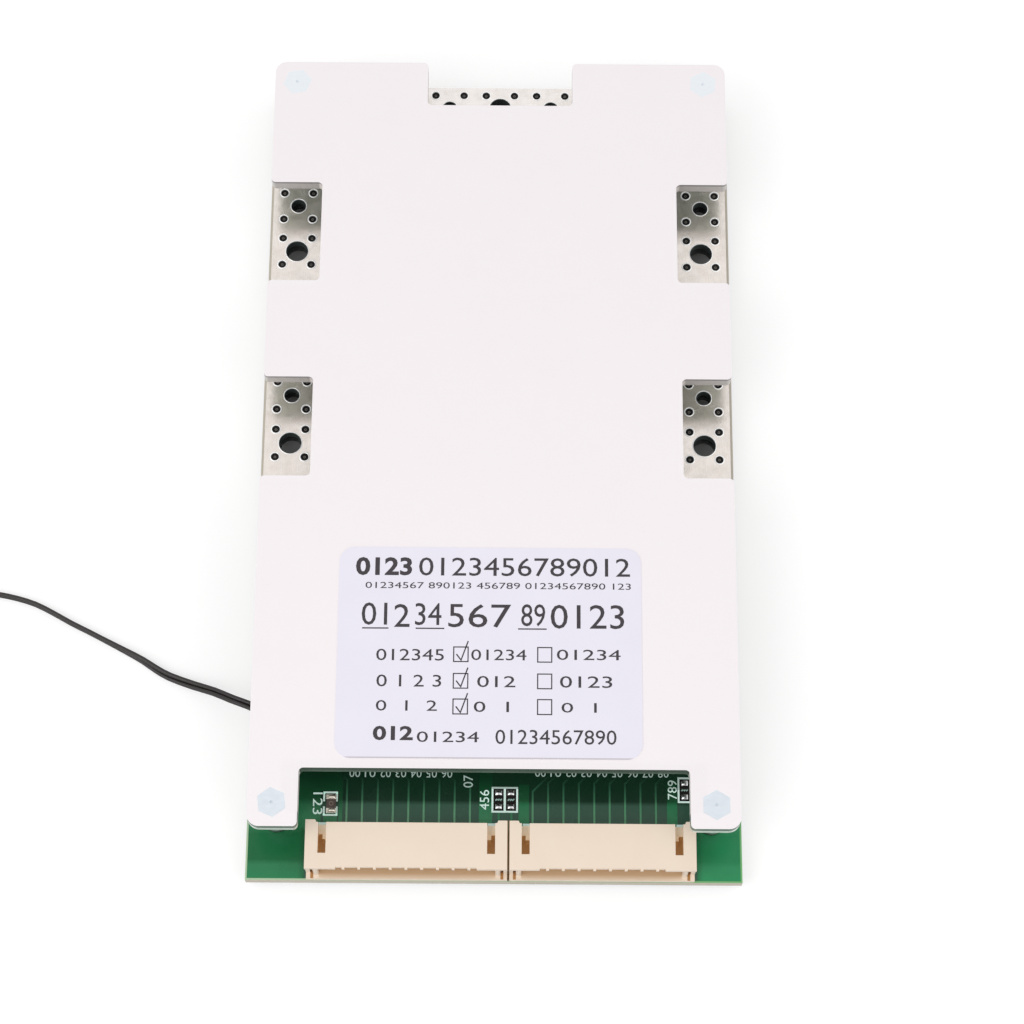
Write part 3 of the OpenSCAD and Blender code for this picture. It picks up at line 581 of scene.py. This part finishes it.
def dress_nodes():
    """Gives each CAD node its material, and rounds its sharp edges by modifiers."""
    for name, node in NODES.items():
        node.data.materials.clear()
        node.data.materials.append(MATERIALS[NODE_LOOKS[name]])
        if name not in NODE_BEVELS:
            continue
        weld = node.modifiers.new("weld", "WELD")
        weld.merge_threshold = 1e-6
        flat = node.modifiers.new("flat", "DECIMATE")
        flat.decimate_type = "DISSOLVE"
        flat.angle_limit = math.radians(1)
        bevel = node.modifiers.new("bevel", "BEVEL")
        bevel.width = NODE_BEVELS[name] * MM
        bevel.segments = 3
        bevel.limit_method = "ANGLE"
        bevel.angle_limit = math.radians(40)
        bevel.harden_normals = True


# ---- Meshes ----

def add_piece(name, mesh, look):
    """Links a mesh as a piece that rides on the root body."""
    piece = bpy.data.objects.new(name, mesh)
    bpy.context.scene.collection.objects.link(piece)
    mesh.materials.append(MATERIALS[look])
    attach(piece, "root")
    return piece


def piece_of(name, build, look, smooth=False):
    """A piece whose mesh build(bm) draws in millimetres."""
    bm = bmesh.new()
    build(bm)
    bmesh.ops.scale(bm, vec=(MM, MM, MM), verts=bm.verts)
    mesh = bpy.data.meshes.new(name)
    bm.normal_update()
    bm.to_mesh(mesh)
    bm.free()
    for face in mesh.polygons:
        face.use_smooth = smooth
    return add_piece(name, mesh, look)


def slab(bm, points, z, thick):
    """A flat closed prism over a polygon of (x, y) points."""
    low = [bm.verts.new((x, y, z)) for x, y in points]
    high = [bm.verts.new((x, y, z + thick)) for x, y in points]
    bm.faces.new(list(reversed(low)))
    bm.faces.new(high)
    for i in range(len(points)):
        j = (i + 1) % len(points)
        bm.faces.new((low[i], low[j], high[j], high[i]))


def block(bm, x0, y0, x1, y1, z, thick):
    slab(bm, [(x0, y0), (x1, y0), (x1, y1), (x0, y1)], z, thick)


def stroke(bm, route, width, z, thick):
    """A flat line of even width along (x, y) points, with mitred corners."""
    left, right = [], []
    for i, point in enumerate(route):
        here = Vector(point)
        before = (here - Vector(route[i - 1])).normalized() if i else None
        after = (Vector(route[i + 1]) - here).normalized() if i + 1 < len(route) else None
        along = ((before or after) + (after or before)).normalized()
        side = Vector((-along.y, along.x))
        straight = before or after
        reach = width / 2 / max(0.5, abs(side.dot(Vector((-straight.y, straight.x)))))
        left.append(tuple(here + side * reach))
        right.append(tuple(here - side * reach))
    slab(bm, right + left[::-1], z, thick)


def lathe(bm, centre, profile, sides=28):
    """Turns a closed or open profile of (radius, z) points about an upright axis."""
    rings = []
    for radius, z in profile:
        ring = []
        for k in range(sides):
            a = 2 * math.pi * k / sides
            ring.append(bm.verts.new((
                centre[0] + radius * math.cos(a), centre[1] + radius * math.sin(a), z)))
        rings.append(ring)
    return rings


def ring_shape(bm, centre, profile, sides=28):
    """A closed ring: profile's last point joins its first."""
    rings = lathe(bm, centre, profile, sides)
    for i in range(len(rings)):
        a, b = rings[i], rings[(i + 1) % len(rings)]
        for k in range(sides):
            m = (k + 1) % sides
            bm.faces.new((a[k], a[m], b[m], b[k]))


# ---- Camera ----

CAMERA_AT = Vector((1.39336, -132.77920, 351.79553)) * MM
CAMERA_RIGHT = Vector((0.9999727, 0.00615496, 0.00408792))
CAMERA_UP = Vector((-0.00717938, 0.94016974, 0.34063076))
CAMERA_LENS = 96.70


def make_camera():
    data = bpy.data.cameras.new("camera")
    data.lens = CAMERA_LENS
    data.sensor_width = 36
    data.clip_start = 0.01
    data.clip_end = 20
    camera = bpy.data.objects.new("camera", data)
    back = CAMERA_RIGHT.cross(CAMERA_UP)
    axes = Matrix((CAMERA_RIGHT, CAMERA_UP, back)).transposed().to_4x4()
    camera.matrix_world = Matrix.Translation(CAMERA_AT) @ axes
    bpy.context.scene.collection.objects.link(camera)
    bpy.context.scene.camera = camera


make_camera()


# ---- Sensor lead ----

# The route of the CAD tube: x from the board's left edge, y from the joints, underside height
LEAD_R = 0.6
CORE_R = 0.31
LEAD_Y0 = FRONT_Y + 21.8
ON_BOARD = [(4.8, 0, 0), (3.3, 0, 0), (1.5, 0.5, 0.05), (-0.4, 1.3, 0.1), (-2.6, 2.2, -0.3)]
ON_SURFACE = [
    (-5.1, 3.5, 1.8), (-8.1, 4.7, 0.7), (-11.3, 6, 0.2), (-13.2, 7.1, 0.05), (-15, 8.3, 0),
    (-17.4, 9.6, 0), (-19.9, 10.9, 0), (-22.4, 12.2, 0), (-24.8, 13.4, 0), (-27.3, 14.8, 0),
    (-29.7, 16, 0), (-32.2, 16.8, 0), (-34.6, 17.3, 0.05), (-37, 17.6, 0.15), (-39.5, 17.7, 0.3),
    (-42, 17.7, 0.3),
]
COIL_ENTRY = 5
ENTRY_STEP = 2.5
COIL_TURNS = 2.75
COIL_R_OUT = 7.8
COIL_R_IN = 5.4
COIL_STEPS = 28


def route_points():
    """The lead's centreline in mm, from its joints to the bead."""
    points = [
        Vector((x - HALF_W, y + LEAD_Y0, z + LEAD_R + DECK)) for x, y, z in ON_BOARD
    ] + [
        Vector((x - HALF_W, y + LEAD_Y0, z + LEAD_R)) for x, y, z in ON_SURFACE
    ]
    end = points[-1]
    middle = Vector((end.x - COIL_ENTRY, end.y - COIL_R_OUT, end.z))
    for k in range(1, int(COIL_ENTRY / ENTRY_STEP) + 1):
        points.append(end + Vector((-ENTRY_STEP * k, 0, 0)))
    steps = int(COIL_TURNS * COIL_STEPS)
    for k in range(1, steps + 1):
        angle = math.radians(90 + 360 * COIL_TURNS * k / steps)
        radius = COIL_R_OUT + (COIL_R_IN - COIL_R_OUT) * k / steps
        points.append(middle + Vector((radius * math.cos(angle), radius * math.sin(angle), 0)))
    # A quarter turn inward brings the end to the bead
    bead_lo, bead_hi = box_mm("sensor_bead")
    bead_mid = (bead_lo + bead_hi) / 2
    start = points[-1]
    turn = bead_mid.y - start.y
    for k in range(1, 8):
        angle = math.radians(90 * k / 7)
        rise = (bead_mid.z - start.z) * k / 7
        points.append(start + Vector((
            -turn * (1 - math.cos(angle)), turn * math.sin(angle), rise)))
    points.append(Vector((bead_hi.x - 0.4, bead_mid.y, bead_mid.z)))
    return points


def smooth_line(points, per_segment):
    """A Catmull-Rom line through the points."""
    line = []
    for i in range(len(points) - 1):
        a = points[max(i - 1, 0)]
        b, c = points[i], points[i + 1]
        d = points[min(i + 2, len(points) - 1)]
        for k in range(per_segment):
            t = k / per_segment
            line.append(0.5 * (
                2 * b + (c - a) * t + (2 * a - 5 * b + 4 * c - d) * t * t
                + (3 * b - a - 3 * c + d) * t ** 3))
    line.append(points[-1])
    return line


def make_sensor_lead():
    """Two cores bonded side by side: flat where they leave the board, on edge along the surface."""
    line = smooth_line(route_points(), 2)
    travelled = [0.0]
    for a, b in zip(line, line[1:]):
        travelled.append(travelled[-1] + (b - a).length)

    def turn_at(s):
        share = min(max((s - 8) / 22, 0), 1)
        return math.radians(90) * share * share * (3 - 2 * share)

    def spread_at(s):
        near = max(0.0, 1 - s / 6)
        return CORE_R - 0.01 + 0.2 * near * near

    def build(bm):
        sides = 10
        for core in (-1, 1):
            rings = []
            for i, here in enumerate(line):
                along = (line[min(i + 1, len(line) - 1)] - line[max(i - 1, 0)]).normalized()
                side = along.cross(Vector((0, 0, 1))).normalized()
                up = side.cross(along)
                turn = turn_at(travelled[i])
                offset = side * math.cos(turn) + up * math.sin(turn)
                middle = here + offset * core * spread_at(travelled[i])
                rings.append([
                    bm.verts.new(middle + CORE_R * (
                        side * math.cos(2 * math.pi * k / sides) + up * math.sin(2 * math.pi * k / sides)))
                    for k in range(sides)])
            for a, b in zip(rings, rings[1:]):
                for k in range(sides):
                    m = (k + 1) % sides
                    bm.faces.new((a[k], b[k], b[m], a[m]))
            bm.faces.new(rings[0])
            bm.faces.new(list(reversed(rings[-1])))
        bmesh.ops.recalc_face_normals(bm, faces=bm.faces)

    cable = piece_of("sensor_twin_lead", build, "cable", smooth=True)
    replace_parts(cable, "sensor_lead", "sensor_lead_coil")


make_sensor_lead()
dress_nodes()


# ---- Busbars: rims, solder-filled vias and wire holes ----

GROUP_PITCH = 7.15
SIDE_GROUP_SHIFT = 0.2
SMALL_PITCH = 4
SMALL_D = 1.1
MEDIUM_D = 2.1
LARGE_D = 3.1
SIDE_GROUPS = 7
REAR_GROUPS = 5
BAR_TOP = BARS_HI.z
WIRE_RIM_W = 0.1
VIA_RIM_W = 0.15
PLUG_TOP = BAR_TOP - 0.14
PLUG_SIDES = 24


def hole_groups():
    """Each hole group of the bars: its middle, and its wire hole's diameter."""
    groups = []
    for node, count, upright in (
            ("left_busbar", SIDE_GROUPS, True),
            ("right_busbar", SIDE_GROUPS, True),
            ("rear_busbar", REAR_GROUPS, False)):
        lo, hi = box_mm(node)
        middle = (lo + hi) / 2
        for i in range(count):
            step = (i - (count - 1) / 2) * GROUP_PITCH
            large = i % 2 == (1 if upright else 0)
            if upright and not large:
                step -= SIDE_GROUP_SHIFT
            place = (middle.x, middle.y + step) if upright else (middle.x + step, middle.y)
            groups.append((place, LARGE_D if large else MEDIUM_D))
    return groups


def small_holes():
    for (x, y), _ in hole_groups():
        for sx in (-1, 1):
            for sy in (-1, 1):
                yield (x + sx * SMALL_PITCH / 2, y + sy * SMALL_PITCH / 2)


def draw_rim(bm, centre, diameter, width):
    r = diameter / 2
    top = BAR_TOP + 0.03
    foot = BAR_TOP - 0.12
    ring_shape(bm, centre, [
        (r - 0.02, foot), (r, top - 0.01), (r + width * 0.2, top), (r + width * 0.8, top),
        (r + width, BAR_TOP), (r + width, BAR_TOP - 0.02), (r + 0.06, foot)])


def draw_rims(bm):
    for centre, diameter in hole_groups():
        draw_rim(bm, centre, diameter, WIRE_RIM_W)
    for centre in small_holes():
        draw_rim(bm, centre, SMALL_D, VIA_RIM_W)


def draw_hole_shade_linings(bm):
    """A dark skin inside each wire hole of the bars: painted shade on the holes' walls."""
    for centre, diameter in hole_groups():
        r = diameter / 2
        ring_shape(bm, centre, [
            (r - 0.03, DECK + 0.02), (r - 0.03, BAR_TOP - 0.13), (r - 0.005, BAR_TOP - 0.13),
            (r - 0.005, DECK + 0.02)], 36)


def draw_via_plugs(bm):
    r = SMALL_D / 2 - 0.015
    for centre in small_holes():
        low, high = lathe(bm, centre, [(r, DECK + 0.01), (r, PLUG_TOP)], PLUG_SIDES)
        for k in range(PLUG_SIDES):
            m = (k + 1) % PLUG_SIDES
            bm.faces.new((low[k], low[m], high[m], high[k]))
        bm.faces.new(high)
        bm.faces.new(list(reversed(low)))


def draw_via_rings(bm):
    low = PLUG_TOP - 0.02
    high = PLUG_TOP + 0.05
    for centre in small_holes():
        ring_shape(bm, centre, [
            (0.09, low), (0.09, high - 0.02), (0.13, high), (0.17, high - 0.02), (0.19, low)], 16)


piece_of("busbar_hole_rims", draw_rims, "rim", smooth=True)
# The wire holes' dark skins are painted shade
piece_of("busbar_hole_shade_linings", draw_hole_shade_linings, "shade_lining")
piece_of("busbar_via_plugs", draw_via_plugs, "flux")
piece_of("busbar_via_rings", draw_via_rings, "dull_lead", smooth=True)


# ---- Board: copper under the solder mask, and its silkscreen ----

COPPER_T = 0.035
SILK_T = 0.02
TRACE_W = 0.25
WAY_PITCH = 2
LEFT_TRACES = [-19.16 + WAY_PITCH * i for i in range(9)]
RIGHT_TRACES = [4.97 + WAY_PITCH * i for i in range(9)]
HEADER_REAR = box_mm("left_header_housing")[1].y
FIELDS_FRONT = FRONT_Y + 0.25
FIELDS_REAR = FRONT_Y + 17
HEADER_MID = FRONT_Y + 5.8
JUMPER_W = 1.6
JUMPER_L = 3.18
JUMPERS = [(0.55, -46.25), (2.15, -46.25), (24.73, -44.81)]
PAD_HALF_W = 0.5
PAD_HALF_L = 0.4
PAD_RISE = 0.22
PAD_FROM_MIDDLE = 0.92
SILK_W = 0.24
SLOT_MARKS_X = (-22.28, -0.32, 4.2, 24.09)
# Counting numbers beside the parts: text, turn and box
SILK_MARKS = [
    ("07", 90, (-4.05, -44.65, -2.8, -43)), ("123", -90, (-23.55, -48.35, -22.3, -45.45)),
    ("456", 90, (-1.9, -47.6, -0.68, -44.95)), ("789", 90, (22.52, -46.05, 23.72, -43.5)),
]
# The first two jumpers share a frame
JUMPER_FRAMES = [(-0.25, -47.84, 2.95, -44.66), (23.93, -46.4, 25.53, -43.22)]


def draw_traces(bm):
    start = HEADER_REAR - 0.3
    for i, x in enumerate(LEFT_TRACES):
        bend = FRONT_Y + 13.3
        stroke(bm, [(x, start), (x, bend), (x - 0.5, bend + 0.5), (x - 0.5, FIELDS_REAR)],
               TRACE_W, DECK, COPPER_T)
    for i, x in enumerate(RIGHT_TRACES):
        bend = FRONT_Y + (11.9 if i == 0 else 13)
        reach = 4.5
        stroke(bm, [(x, start), (x, bend), (x + reach, bend + reach)], TRACE_W, DECK, COPPER_T)


def draw_fields(bm):
    side = HALF_W - 0.25
    # Left of the chip resistor and behind it
    slab(bm, [
        (-side, FIELDS_FRONT), (-24.4, FIELDS_FRONT), (-24.4, HEADER_MID), (-22.5, HEADER_MID),
        (-22.5, -45.2), (-20.2, -45.2), (-20.2, HEADER_MID), (-19.7, HEADER_MID),
        (-19.7, FIELDS_REAR), (-side, FIELDS_REAR)], DECK, COPPER_T)
    # In front of the chip resistor
    block(bm, -22.15, HEADER_MID, -20.4, -48.6, DECK, COPPER_T)
    # Right corner, beside the last jumper
    slab(bm, [
        (26.2, FIELDS_FRONT), (side, FIELDS_FRONT), (side, FIELDS_REAR), (26.2, FIELDS_REAR)],
        DECK, COPPER_T)
    # Strips beside the jumpers
    block(bm, -2, HEADER_MID, -0.25, FIELDS_REAR, DECK, COPPER_T)
    block(bm, 3.15, HEADER_MID, 4.5, -44.2, DECK, COPPER_T)
    block(bm, 22.4, HEADER_MID, 23.75, -43.4, DECK, COPPER_T)
    # Short tracks from the middle jumpers to the headers
    block(bm, 0.45, HEADER_MID, 0.7, -47.9, DECK, COPPER_T)
    block(bm, 2.1, HEADER_MID, 2.35, -47.9, DECK, COPPER_T)
    # Fields inside the bars
    for turn in (-1, 1):
        xs = sorted((turn * (BARS_LO.x - 0.2), turn * 9.2))
        block(bm, xs[0], BARS_LO.y, xs[1], BARS_HI.y, DECK, COPPER_T)


def draw_underside_copper(bm):
    z = BOARD_LO.z - COPPER_T
    for turn in (-1, 1):
        xs = sorted((turn * (BARS_LO.x - 0.2), turn * 16))
        block(bm, xs[0], BARS_LO.y, xs[1], BARS_HI.y, z, COPPER_T)
    for i in range(10):
        x = -18 + 4 * i
        rise = 0.6 * i
        stroke(bm, [(x, -44), (x, -36 + rise), (x * 0.8, -30 + rise), (x * 0.8, -14)],
               0.35, z, COPPER_T)


def outline(bm, x0, y0, x1, y1, width, z, thick):
    """The four sides of a rectangle as thin lines."""
    half = width / 2
    block(bm, x0 - half, y0 - half, x1 + half, y0 + half, z, thick)
    block(bm, x0 - half, y1 - half, x1 + half, y1 + half, z, thick)
    block(bm, x0 - half, y0 + half, x0 + half, y1 - half, z, thick)
    block(bm, x1 - half, y0 + half, x1 + half, y1 - half, z, thick)


def draw_silk_lines(bm):
    z = DECK + COPPER_T
    line = SILK_W
    # Two brackets round the chip resistor
    x0, x1 = -22.1, -20.45
    for y_end, y_open in ((-45.43, -46.62), (-48.42, -47.3)):
        block(bm, x0 - line / 2, y_end - line / 2, x1 + line / 2, y_end + line / 2, z, SILK_T)
        for x in (x0, x1):
            ys = sorted((y_end, y_open))
            block(bm, x - line / 2, ys[0], x + line / 2, ys[1], z, SILK_T)
    for x0, y0, x1, y1 in JUMPER_FRAMES:
        outline(bm, x0, y0, x1, y1, line, z, SILK_T)
    x0, y0, x1, y1 = JUMPER_FRAMES[0]
    mid = (x0 + x1) / 2
    block(bm, mid - 0.14, y0 + line / 2, mid + 0.14, y1 - line / 2, z, SILK_T)
    # Marks behind the headers' end slots
    for x in SLOT_MARKS_X:
        block(bm, x - 0.5, -49.7, x + 0.5, -49.4, z, SILK_T)


piece_of("board_traces", draw_traces, "trace")
piece_of("board_copper_fields", draw_fields, "copper")
piece_of("board_underside_copper", draw_underside_copper, "copper")
piece_of("silkscreen_lines", draw_silk_lines, "silk")


def add_digits(bm, text, box, z, thick, turn=0, bold=0.0):
    """Plain digits as thin raised shapes that fill a box (x0, y0, x1, y1)."""
    curve = bpy.data.curves.new("digits", "FONT")
    curve.body = text
    curve.extrude = thick / 2
    curve.offset = bold
    curve.resolution_u = 3
    source = bpy.data.objects.new("digits", curve)
    bpy.context.scene.collection.objects.link(source)
    graph = bpy.context.evaluated_depsgraph_get()
    mesh = bpy.data.meshes.new_from_object(source.evaluated_get(graph))
    xs = [vertex.co.x for vertex in mesh.vertices]
    ys = [vertex.co.y for vertex in mesh.vertices]
    x0, y0, x1, y1 = box
    wide, high = (x1 - x0, y1 - y0) if turn % 180 == 0 else (y1 - y0, x1 - x0)
    mesh.transform(
        Matrix.Translation(((x0 + x1) / 2, (y0 + y1) / 2, z + thick / 2))
        @ Matrix.Rotation(math.radians(turn), 4, "Z")
        @ Matrix.Diagonal((wide / (max(xs) - min(xs)), high / (max(ys) - min(ys)), 1, 1))
        @ Matrix.Translation((-(min(xs) + max(xs)) / 2, -(min(ys) + max(ys)) / 2, 0)))
    bm.from_mesh(mesh)
    bpy.data.objects.remove(source)
    bpy.data.curves.remove(curve)
    bpy.data.meshes.remove(mesh)


def draw_silk_numbers(bm):
    z = DECK + COPPER_T
    for i, x in enumerate(LEFT_TRACES[:7]):
        add_digits(bm, f"{i:02}", (x + 0.25, -43.35, x + 1.65, -42.25), z, SILK_T, 180)
    for i, x in enumerate(RIGHT_TRACES):
        add_digits(bm, f"{i:02}", (x + 0.3, -43.15, x + 1.7, -42.05), z, SILK_T, 180)
    for text, turn, box in SILK_MARKS:
        add_digits(bm, text, box, z, SILK_T, turn)


piece_of("silkscreen_numbers", draw_silk_numbers, "silk")


# ---- Jumpers: dark wells with a small mark between their pads ----

def draw_jumper_wells(bm):
    inset = 0.12
    for x, y in JUMPERS:
        block(bm, x - JUMPER_W / 2 + inset, y - JUMPER_L / 2 + inset,
              x + JUMPER_W / 2 - inset, y + JUMPER_L / 2 - inset, DECK, COPPER_T + 0.005)


def draw_jumper_marks(bm):
    for x, y in JUMPERS:
        for k in (-1, 0, 1):
            mid = x + 0.3 * k
            stroke(bm, [(mid - 0.12, y - 0.1), (mid + 0.12, y + 0.1)], 0.17, DECK + COPPER_T + 0.005, SILK_T)


def pillow(bm, x0, y0, x1, y1, z, high, steps=8):
    """A domed pad over a rectangle."""
    rows = []
    for i in range(steps + 1):
        u = 2 * i / steps - 1
        row = []
        for k in range(steps + 1):
            v = 2 * k / steps - 1
            rise = high * math.sqrt(max(0, (1 - u * u) * (1 - v * v)))
            row.append(bm.verts.new((x0 + (x1 - x0) * i / steps, y0 + (y1 - y0) * k / steps, z + rise)))
        rows.append(row)
    for i in range(steps):
        for k in range(steps):
            bm.faces.new((rows[i][k], rows[i + 1][k], rows[i + 1][k + 1], rows[i][k + 1]))
    rim = ([row[0] for row in rows] + rows[-1][1:] + [row[-1] for row in rows[-2::-1]] + rows[0][-2:0:-1])
    bm.faces.new(list(reversed(rim)))


def draw_jumper_pads(bm):
    for x, y in JUMPERS:
        for side in (-1, 1):
            mid = y + PAD_FROM_MIDDLE * side
            pillow(bm, x - PAD_HALF_W, mid - PAD_HALF_L, x + PAD_HALF_W, mid + PAD_HALF_L,
                   DECK + 0.02, PAD_RISE)


piece_of("jumper_wells", draw_jumper_wells, "flux")
piece_of("jumper_marks", draw_jumper_marks, "teal")
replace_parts(piece_of("jumper_pads", draw_jumper_pads, "solder", smooth=True), "jumper_solder")


# ---- Label: a plain form with boxes and numbers ----

INK_T = 0.012
INK_Z = LABEL_HI.z
OPTION_ROWS = [(-30.6, -28.65), (-34.15, -32.2), (-37.57, -35.6)]
OPTION_COLUMNS = [(-5.35, -3.5), (5.45, 7.25)]
# Each group of counting digits: the text, x from and to, y from and to, boldness
FORM_DIGITS = [
    ("0123", -18.2, -10.9, -19, -16.5, 0.03), ("0123456789012", -10, 17.4, -19, -16.5, 0),
    ("01234567 890123 456789 01234567890 123", -16.9, 17.5, -20.75, -19.9, 0),
    ("01", -17.3, -14, -25.75, -22.7, 0), ("2", -13.1, -11.1, -26, -22.9, 0),
    ("34", -10.4, -7, -25.75, -22.75, 0), ("5", -6.1, -4.1, -26, -22.85, 0),
    ("67", -3.5, 2, -26, -22.85, 0), ("89", 3.3, 6.4, -25.8, -22.8, 0),
    ("0123", 7.1, 16.6, -26.1, -22.85, 0),
    ("012345", -15.3, -6.6, -30.5, -28.95, 0), ("01234", -3.1, 4, -30.4, -28.95, 0),
    ("01234", 7.9, 16.1, -30.3, -28.9, 0),
    ("0 1 2 3", -15.2, -6.9, -34, -32.4, 0), ("012", -2.3, 2.6, -34, -32.5, 0),
    ("0123", 8.3, 15, -34, -32.45, 0),
    ("0  1  2", -15.2, -7.4, -37.2, -35.8, 0), ("0  1", -2.7, 1.8, -37.3, -35.9, 0),
    ("0  1", 8.5, 13, -37.3, -36, 0),
    ("012", -15.5, -10.4, -41.1, -39.2, 0.03), ("01234", -9.9, -2, -41.3, -39.9, 0),
    ("01234567890", 0.1, 15.5, -41.5, -39.6, 0),
]


def draw_form_lines(bm):
    # Underlines of the large row's three blanks
    for x0, x1 in ((-17.2, -13.8), (-10.3, -6.6), (2.9, 6.6)):
        block(bm, x0, -26.25, x1, -26.08, INK_Z, INK_T)
    line = 0.15
    for y0, y1 in OPTION_ROWS:
        for x0, x1 in OPTION_COLUMNS:
            outline(bm, x0, y0, x1, y1, line, INK_Z, INK_T)
        stroke(bm, [(-5, y0 + 1), (-4.4, y0 + 0.2), (-3.5, y1 + 0.8)], 0.17, INK_Z, INK_T)


def draw_form_numbers(bm):
    for text, x0, x1, y0, y1, bold in FORM_DIGITS:
        add_digits(bm, text, (x0, y0, x1, y1), INK_Z, INK_T, 0, bold)


piece_of("label_form_lines", draw_form_lines, "ink")
piece_of("label_form_numbers", draw_form_numbers, "ink")


# ---- Tinned ends of the chip resistors ----

LARGE_CHIP_HALF_W = 1.6
LARGE_CHIP_HALF_L = 3.15
SHUNT_PITCH = 5
BALANCE_PITCH = 4
FRONT_END_L = 0.62
SHUNT_END_L = 0.7
BALANCE_END_L = 0.6


def draw_resistor_ends(bm):
    skin = 0.03

    def ends(cx, cy, half_x, half_y, height, end_l):
        for side in (-1, 1):
            ys = sorted((cy + side * (half_y + skin), cy + side * (half_y - end_l)))
            block(bm, cx - half_x - skin, ys[0], cx + half_x + skin, ys[1], DECK, height + skin)

    lo, hi = box_mm("front_chip_resistor")
    mid = (lo + hi) / 2
    ends(mid.x, mid.y, (hi.x - lo.x) / 2, (hi.y - lo.y) / 2, hi.z - DECK, FRONT_END_L)
    lo, hi = box_mm("shunt_resistors")
    for i in range(4):
        ends((i - 1.5) * SHUNT_PITCH, (lo.y + hi.y) / 2, LARGE_CHIP_HALF_W, LARGE_CHIP_HALF_L,
             hi.z - DECK, SHUNT_END_L)
    lo, hi = box_mm("balance_resistors")
    for i in range(10):
        for y in (lo.y + LARGE_CHIP_HALF_L, hi.y - LARGE_CHIP_HALF_L):
            ends((i - 4.5) * BALANCE_PITCH, y, LARGE_CHIP_HALF_W, LARGE_CHIP_HALF_L,
                 hi.z - DECK, BALANCE_END_L)


def draw_resistor_mark(bm):
    lo, hi = box_mm("front_chip_resistor")
    top = hi.z
    inner, outer = 0.2, 0.31
    ring_shape(bm, (lo + hi) / 2, [
        (inner, top - 0.01), (inner, top + 0.015), (outer, top + 0.015), (outer, top - 0.01)], 20)


def draw_resistor_domes(bm):
    """Solder that crowns both ends of the chip resistor at the front edge."""
    lo, hi = box_mm("front_chip_resistor")
    for y0, y1 in ((lo.y, lo.y + 0.6), (hi.y - 0.6, hi.y)):
        pillow(bm, lo.x + 0.04, y0, hi.x - 0.04, y1, hi.z - 0.02, 0.2)


piece_of("chip_resistor_mark", draw_resistor_mark, "body_ring")
piece_of("chip_resistor_domes", draw_resistor_domes, "chip_end", smooth=True)
ends_piece = piece_of("chip_resistor_ends", draw_resistor_ends, "chip_end")
rounding = ends_piece.modifiers.new("bevel", "BEVEL")
rounding.width = 0.06 * MM
rounding.segments = 2


# ---- Stage and light ----

WORLD_DIFFUSE = 0.68
FLOOR_GLOW = 0.58


def make_world():
    """A plain pale studio: camera and mirror rays see white, and it lights a little less."""
    world = bpy.data.worlds.new("studio")
    bpy.context.scene.world = world
    world.use_nodes = True
    tree = world.node_tree
    background = tree.nodes["Background"]
    background.inputs["Color"].default_value = (1, 1, 1, 1)
    path = tree.nodes.new("ShaderNodeLightPath")
    seen = path.outputs["Is Camera Ray"]
    for name in ("Is Glossy Ray", "Is Transmission Ray"):
        both = tree.nodes.new("ShaderNodeMath")
        both.operation = "MAXIMUM"
        tree.links.new(seen, both.inputs[0])
        tree.links.new(path.outputs[name], both.inputs[1])
        seen = both.outputs[0]
    strength = tree.nodes.new("ShaderNodeMapRange")
    strength.inputs["To Min"].default_value = WORLD_DIFFUSE
    strength.inputs["To Max"].default_value = 1.0
    tree.links.new(seen, strength.inputs["Value"])
    tree.links.new(strength.outputs["Result"], background.inputs["Strength"])


def make_floor():
    """A pale floor that keeps the object's shadow and shows as white away from it."""
    bm = bmesh.new()
    half = 3.0
    corners = [(-half, -half), (half, -half), (half, half), (-half, half)]
    bm.faces.new([bm.verts.new((x, y, -0.00005)) for x, y in corners])
    mesh = bpy.data.meshes.new("floor")
    bm.to_mesh(mesh)
    bm.free()
    floor = bpy.data.objects.new("floor", mesh)
    bpy.context.scene.collection.objects.link(floor)
    look = Look("floor_paper", (0.5, 0.5, 0.5, 1), 0.9)
    grain = look.noise(30, detail=2)
    look.colour(look.mix(grain, (0.49, 0.49, 0.49, 1), (0.51, 0.51, 0.51, 1)))
    path = look.tree.nodes.new("ShaderNodeLightPath")
    seen = path.outputs["Is Camera Ray"]
    for name in ("Is Glossy Ray", "Is Transmission Ray"):
        seen = look.math("MAXIMUM", seen, path.outputs[name])
    # None of the glow lies under the board, which its holes show
    x, y, _ = look.xyz()
    under = look.both(
        look.inside(x, -HALF_W + 1, HALF_W - 1), look.inside(y, FRONT_Y + 1, REAR_Y - 1))
    look.glow(look.both(seen, look.span(under, FLOOR_GLOW, 0, 0, 1)), (1, 1, 1, 1))
    mesh.materials.append(look.material)


def add_lamp(name, place, size, watts, aim=(0, 0, 0)):
    data = bpy.data.lights.new(name, "AREA")
    data.size = size
    data.energy = watts
    lamp = bpy.data.objects.new(name, data)
    lamp.location = place
    direction = Vector(aim) - Vector(place)
    lamp.rotation_euler = direction.to_track_quat("-Z", "Y").to_euler()
    bpy.context.scene.collection.objects.link(lamp)


make_world()
make_floor()
add_lamp("key", (-0.55, -0.35, 0.75), 0.7, 3.1)
add_lamp("fill", (0.6, -0.3, 0.6), 0.7, 1.4)
bpy.context.scene.view_settings.view_transform = "Standard"
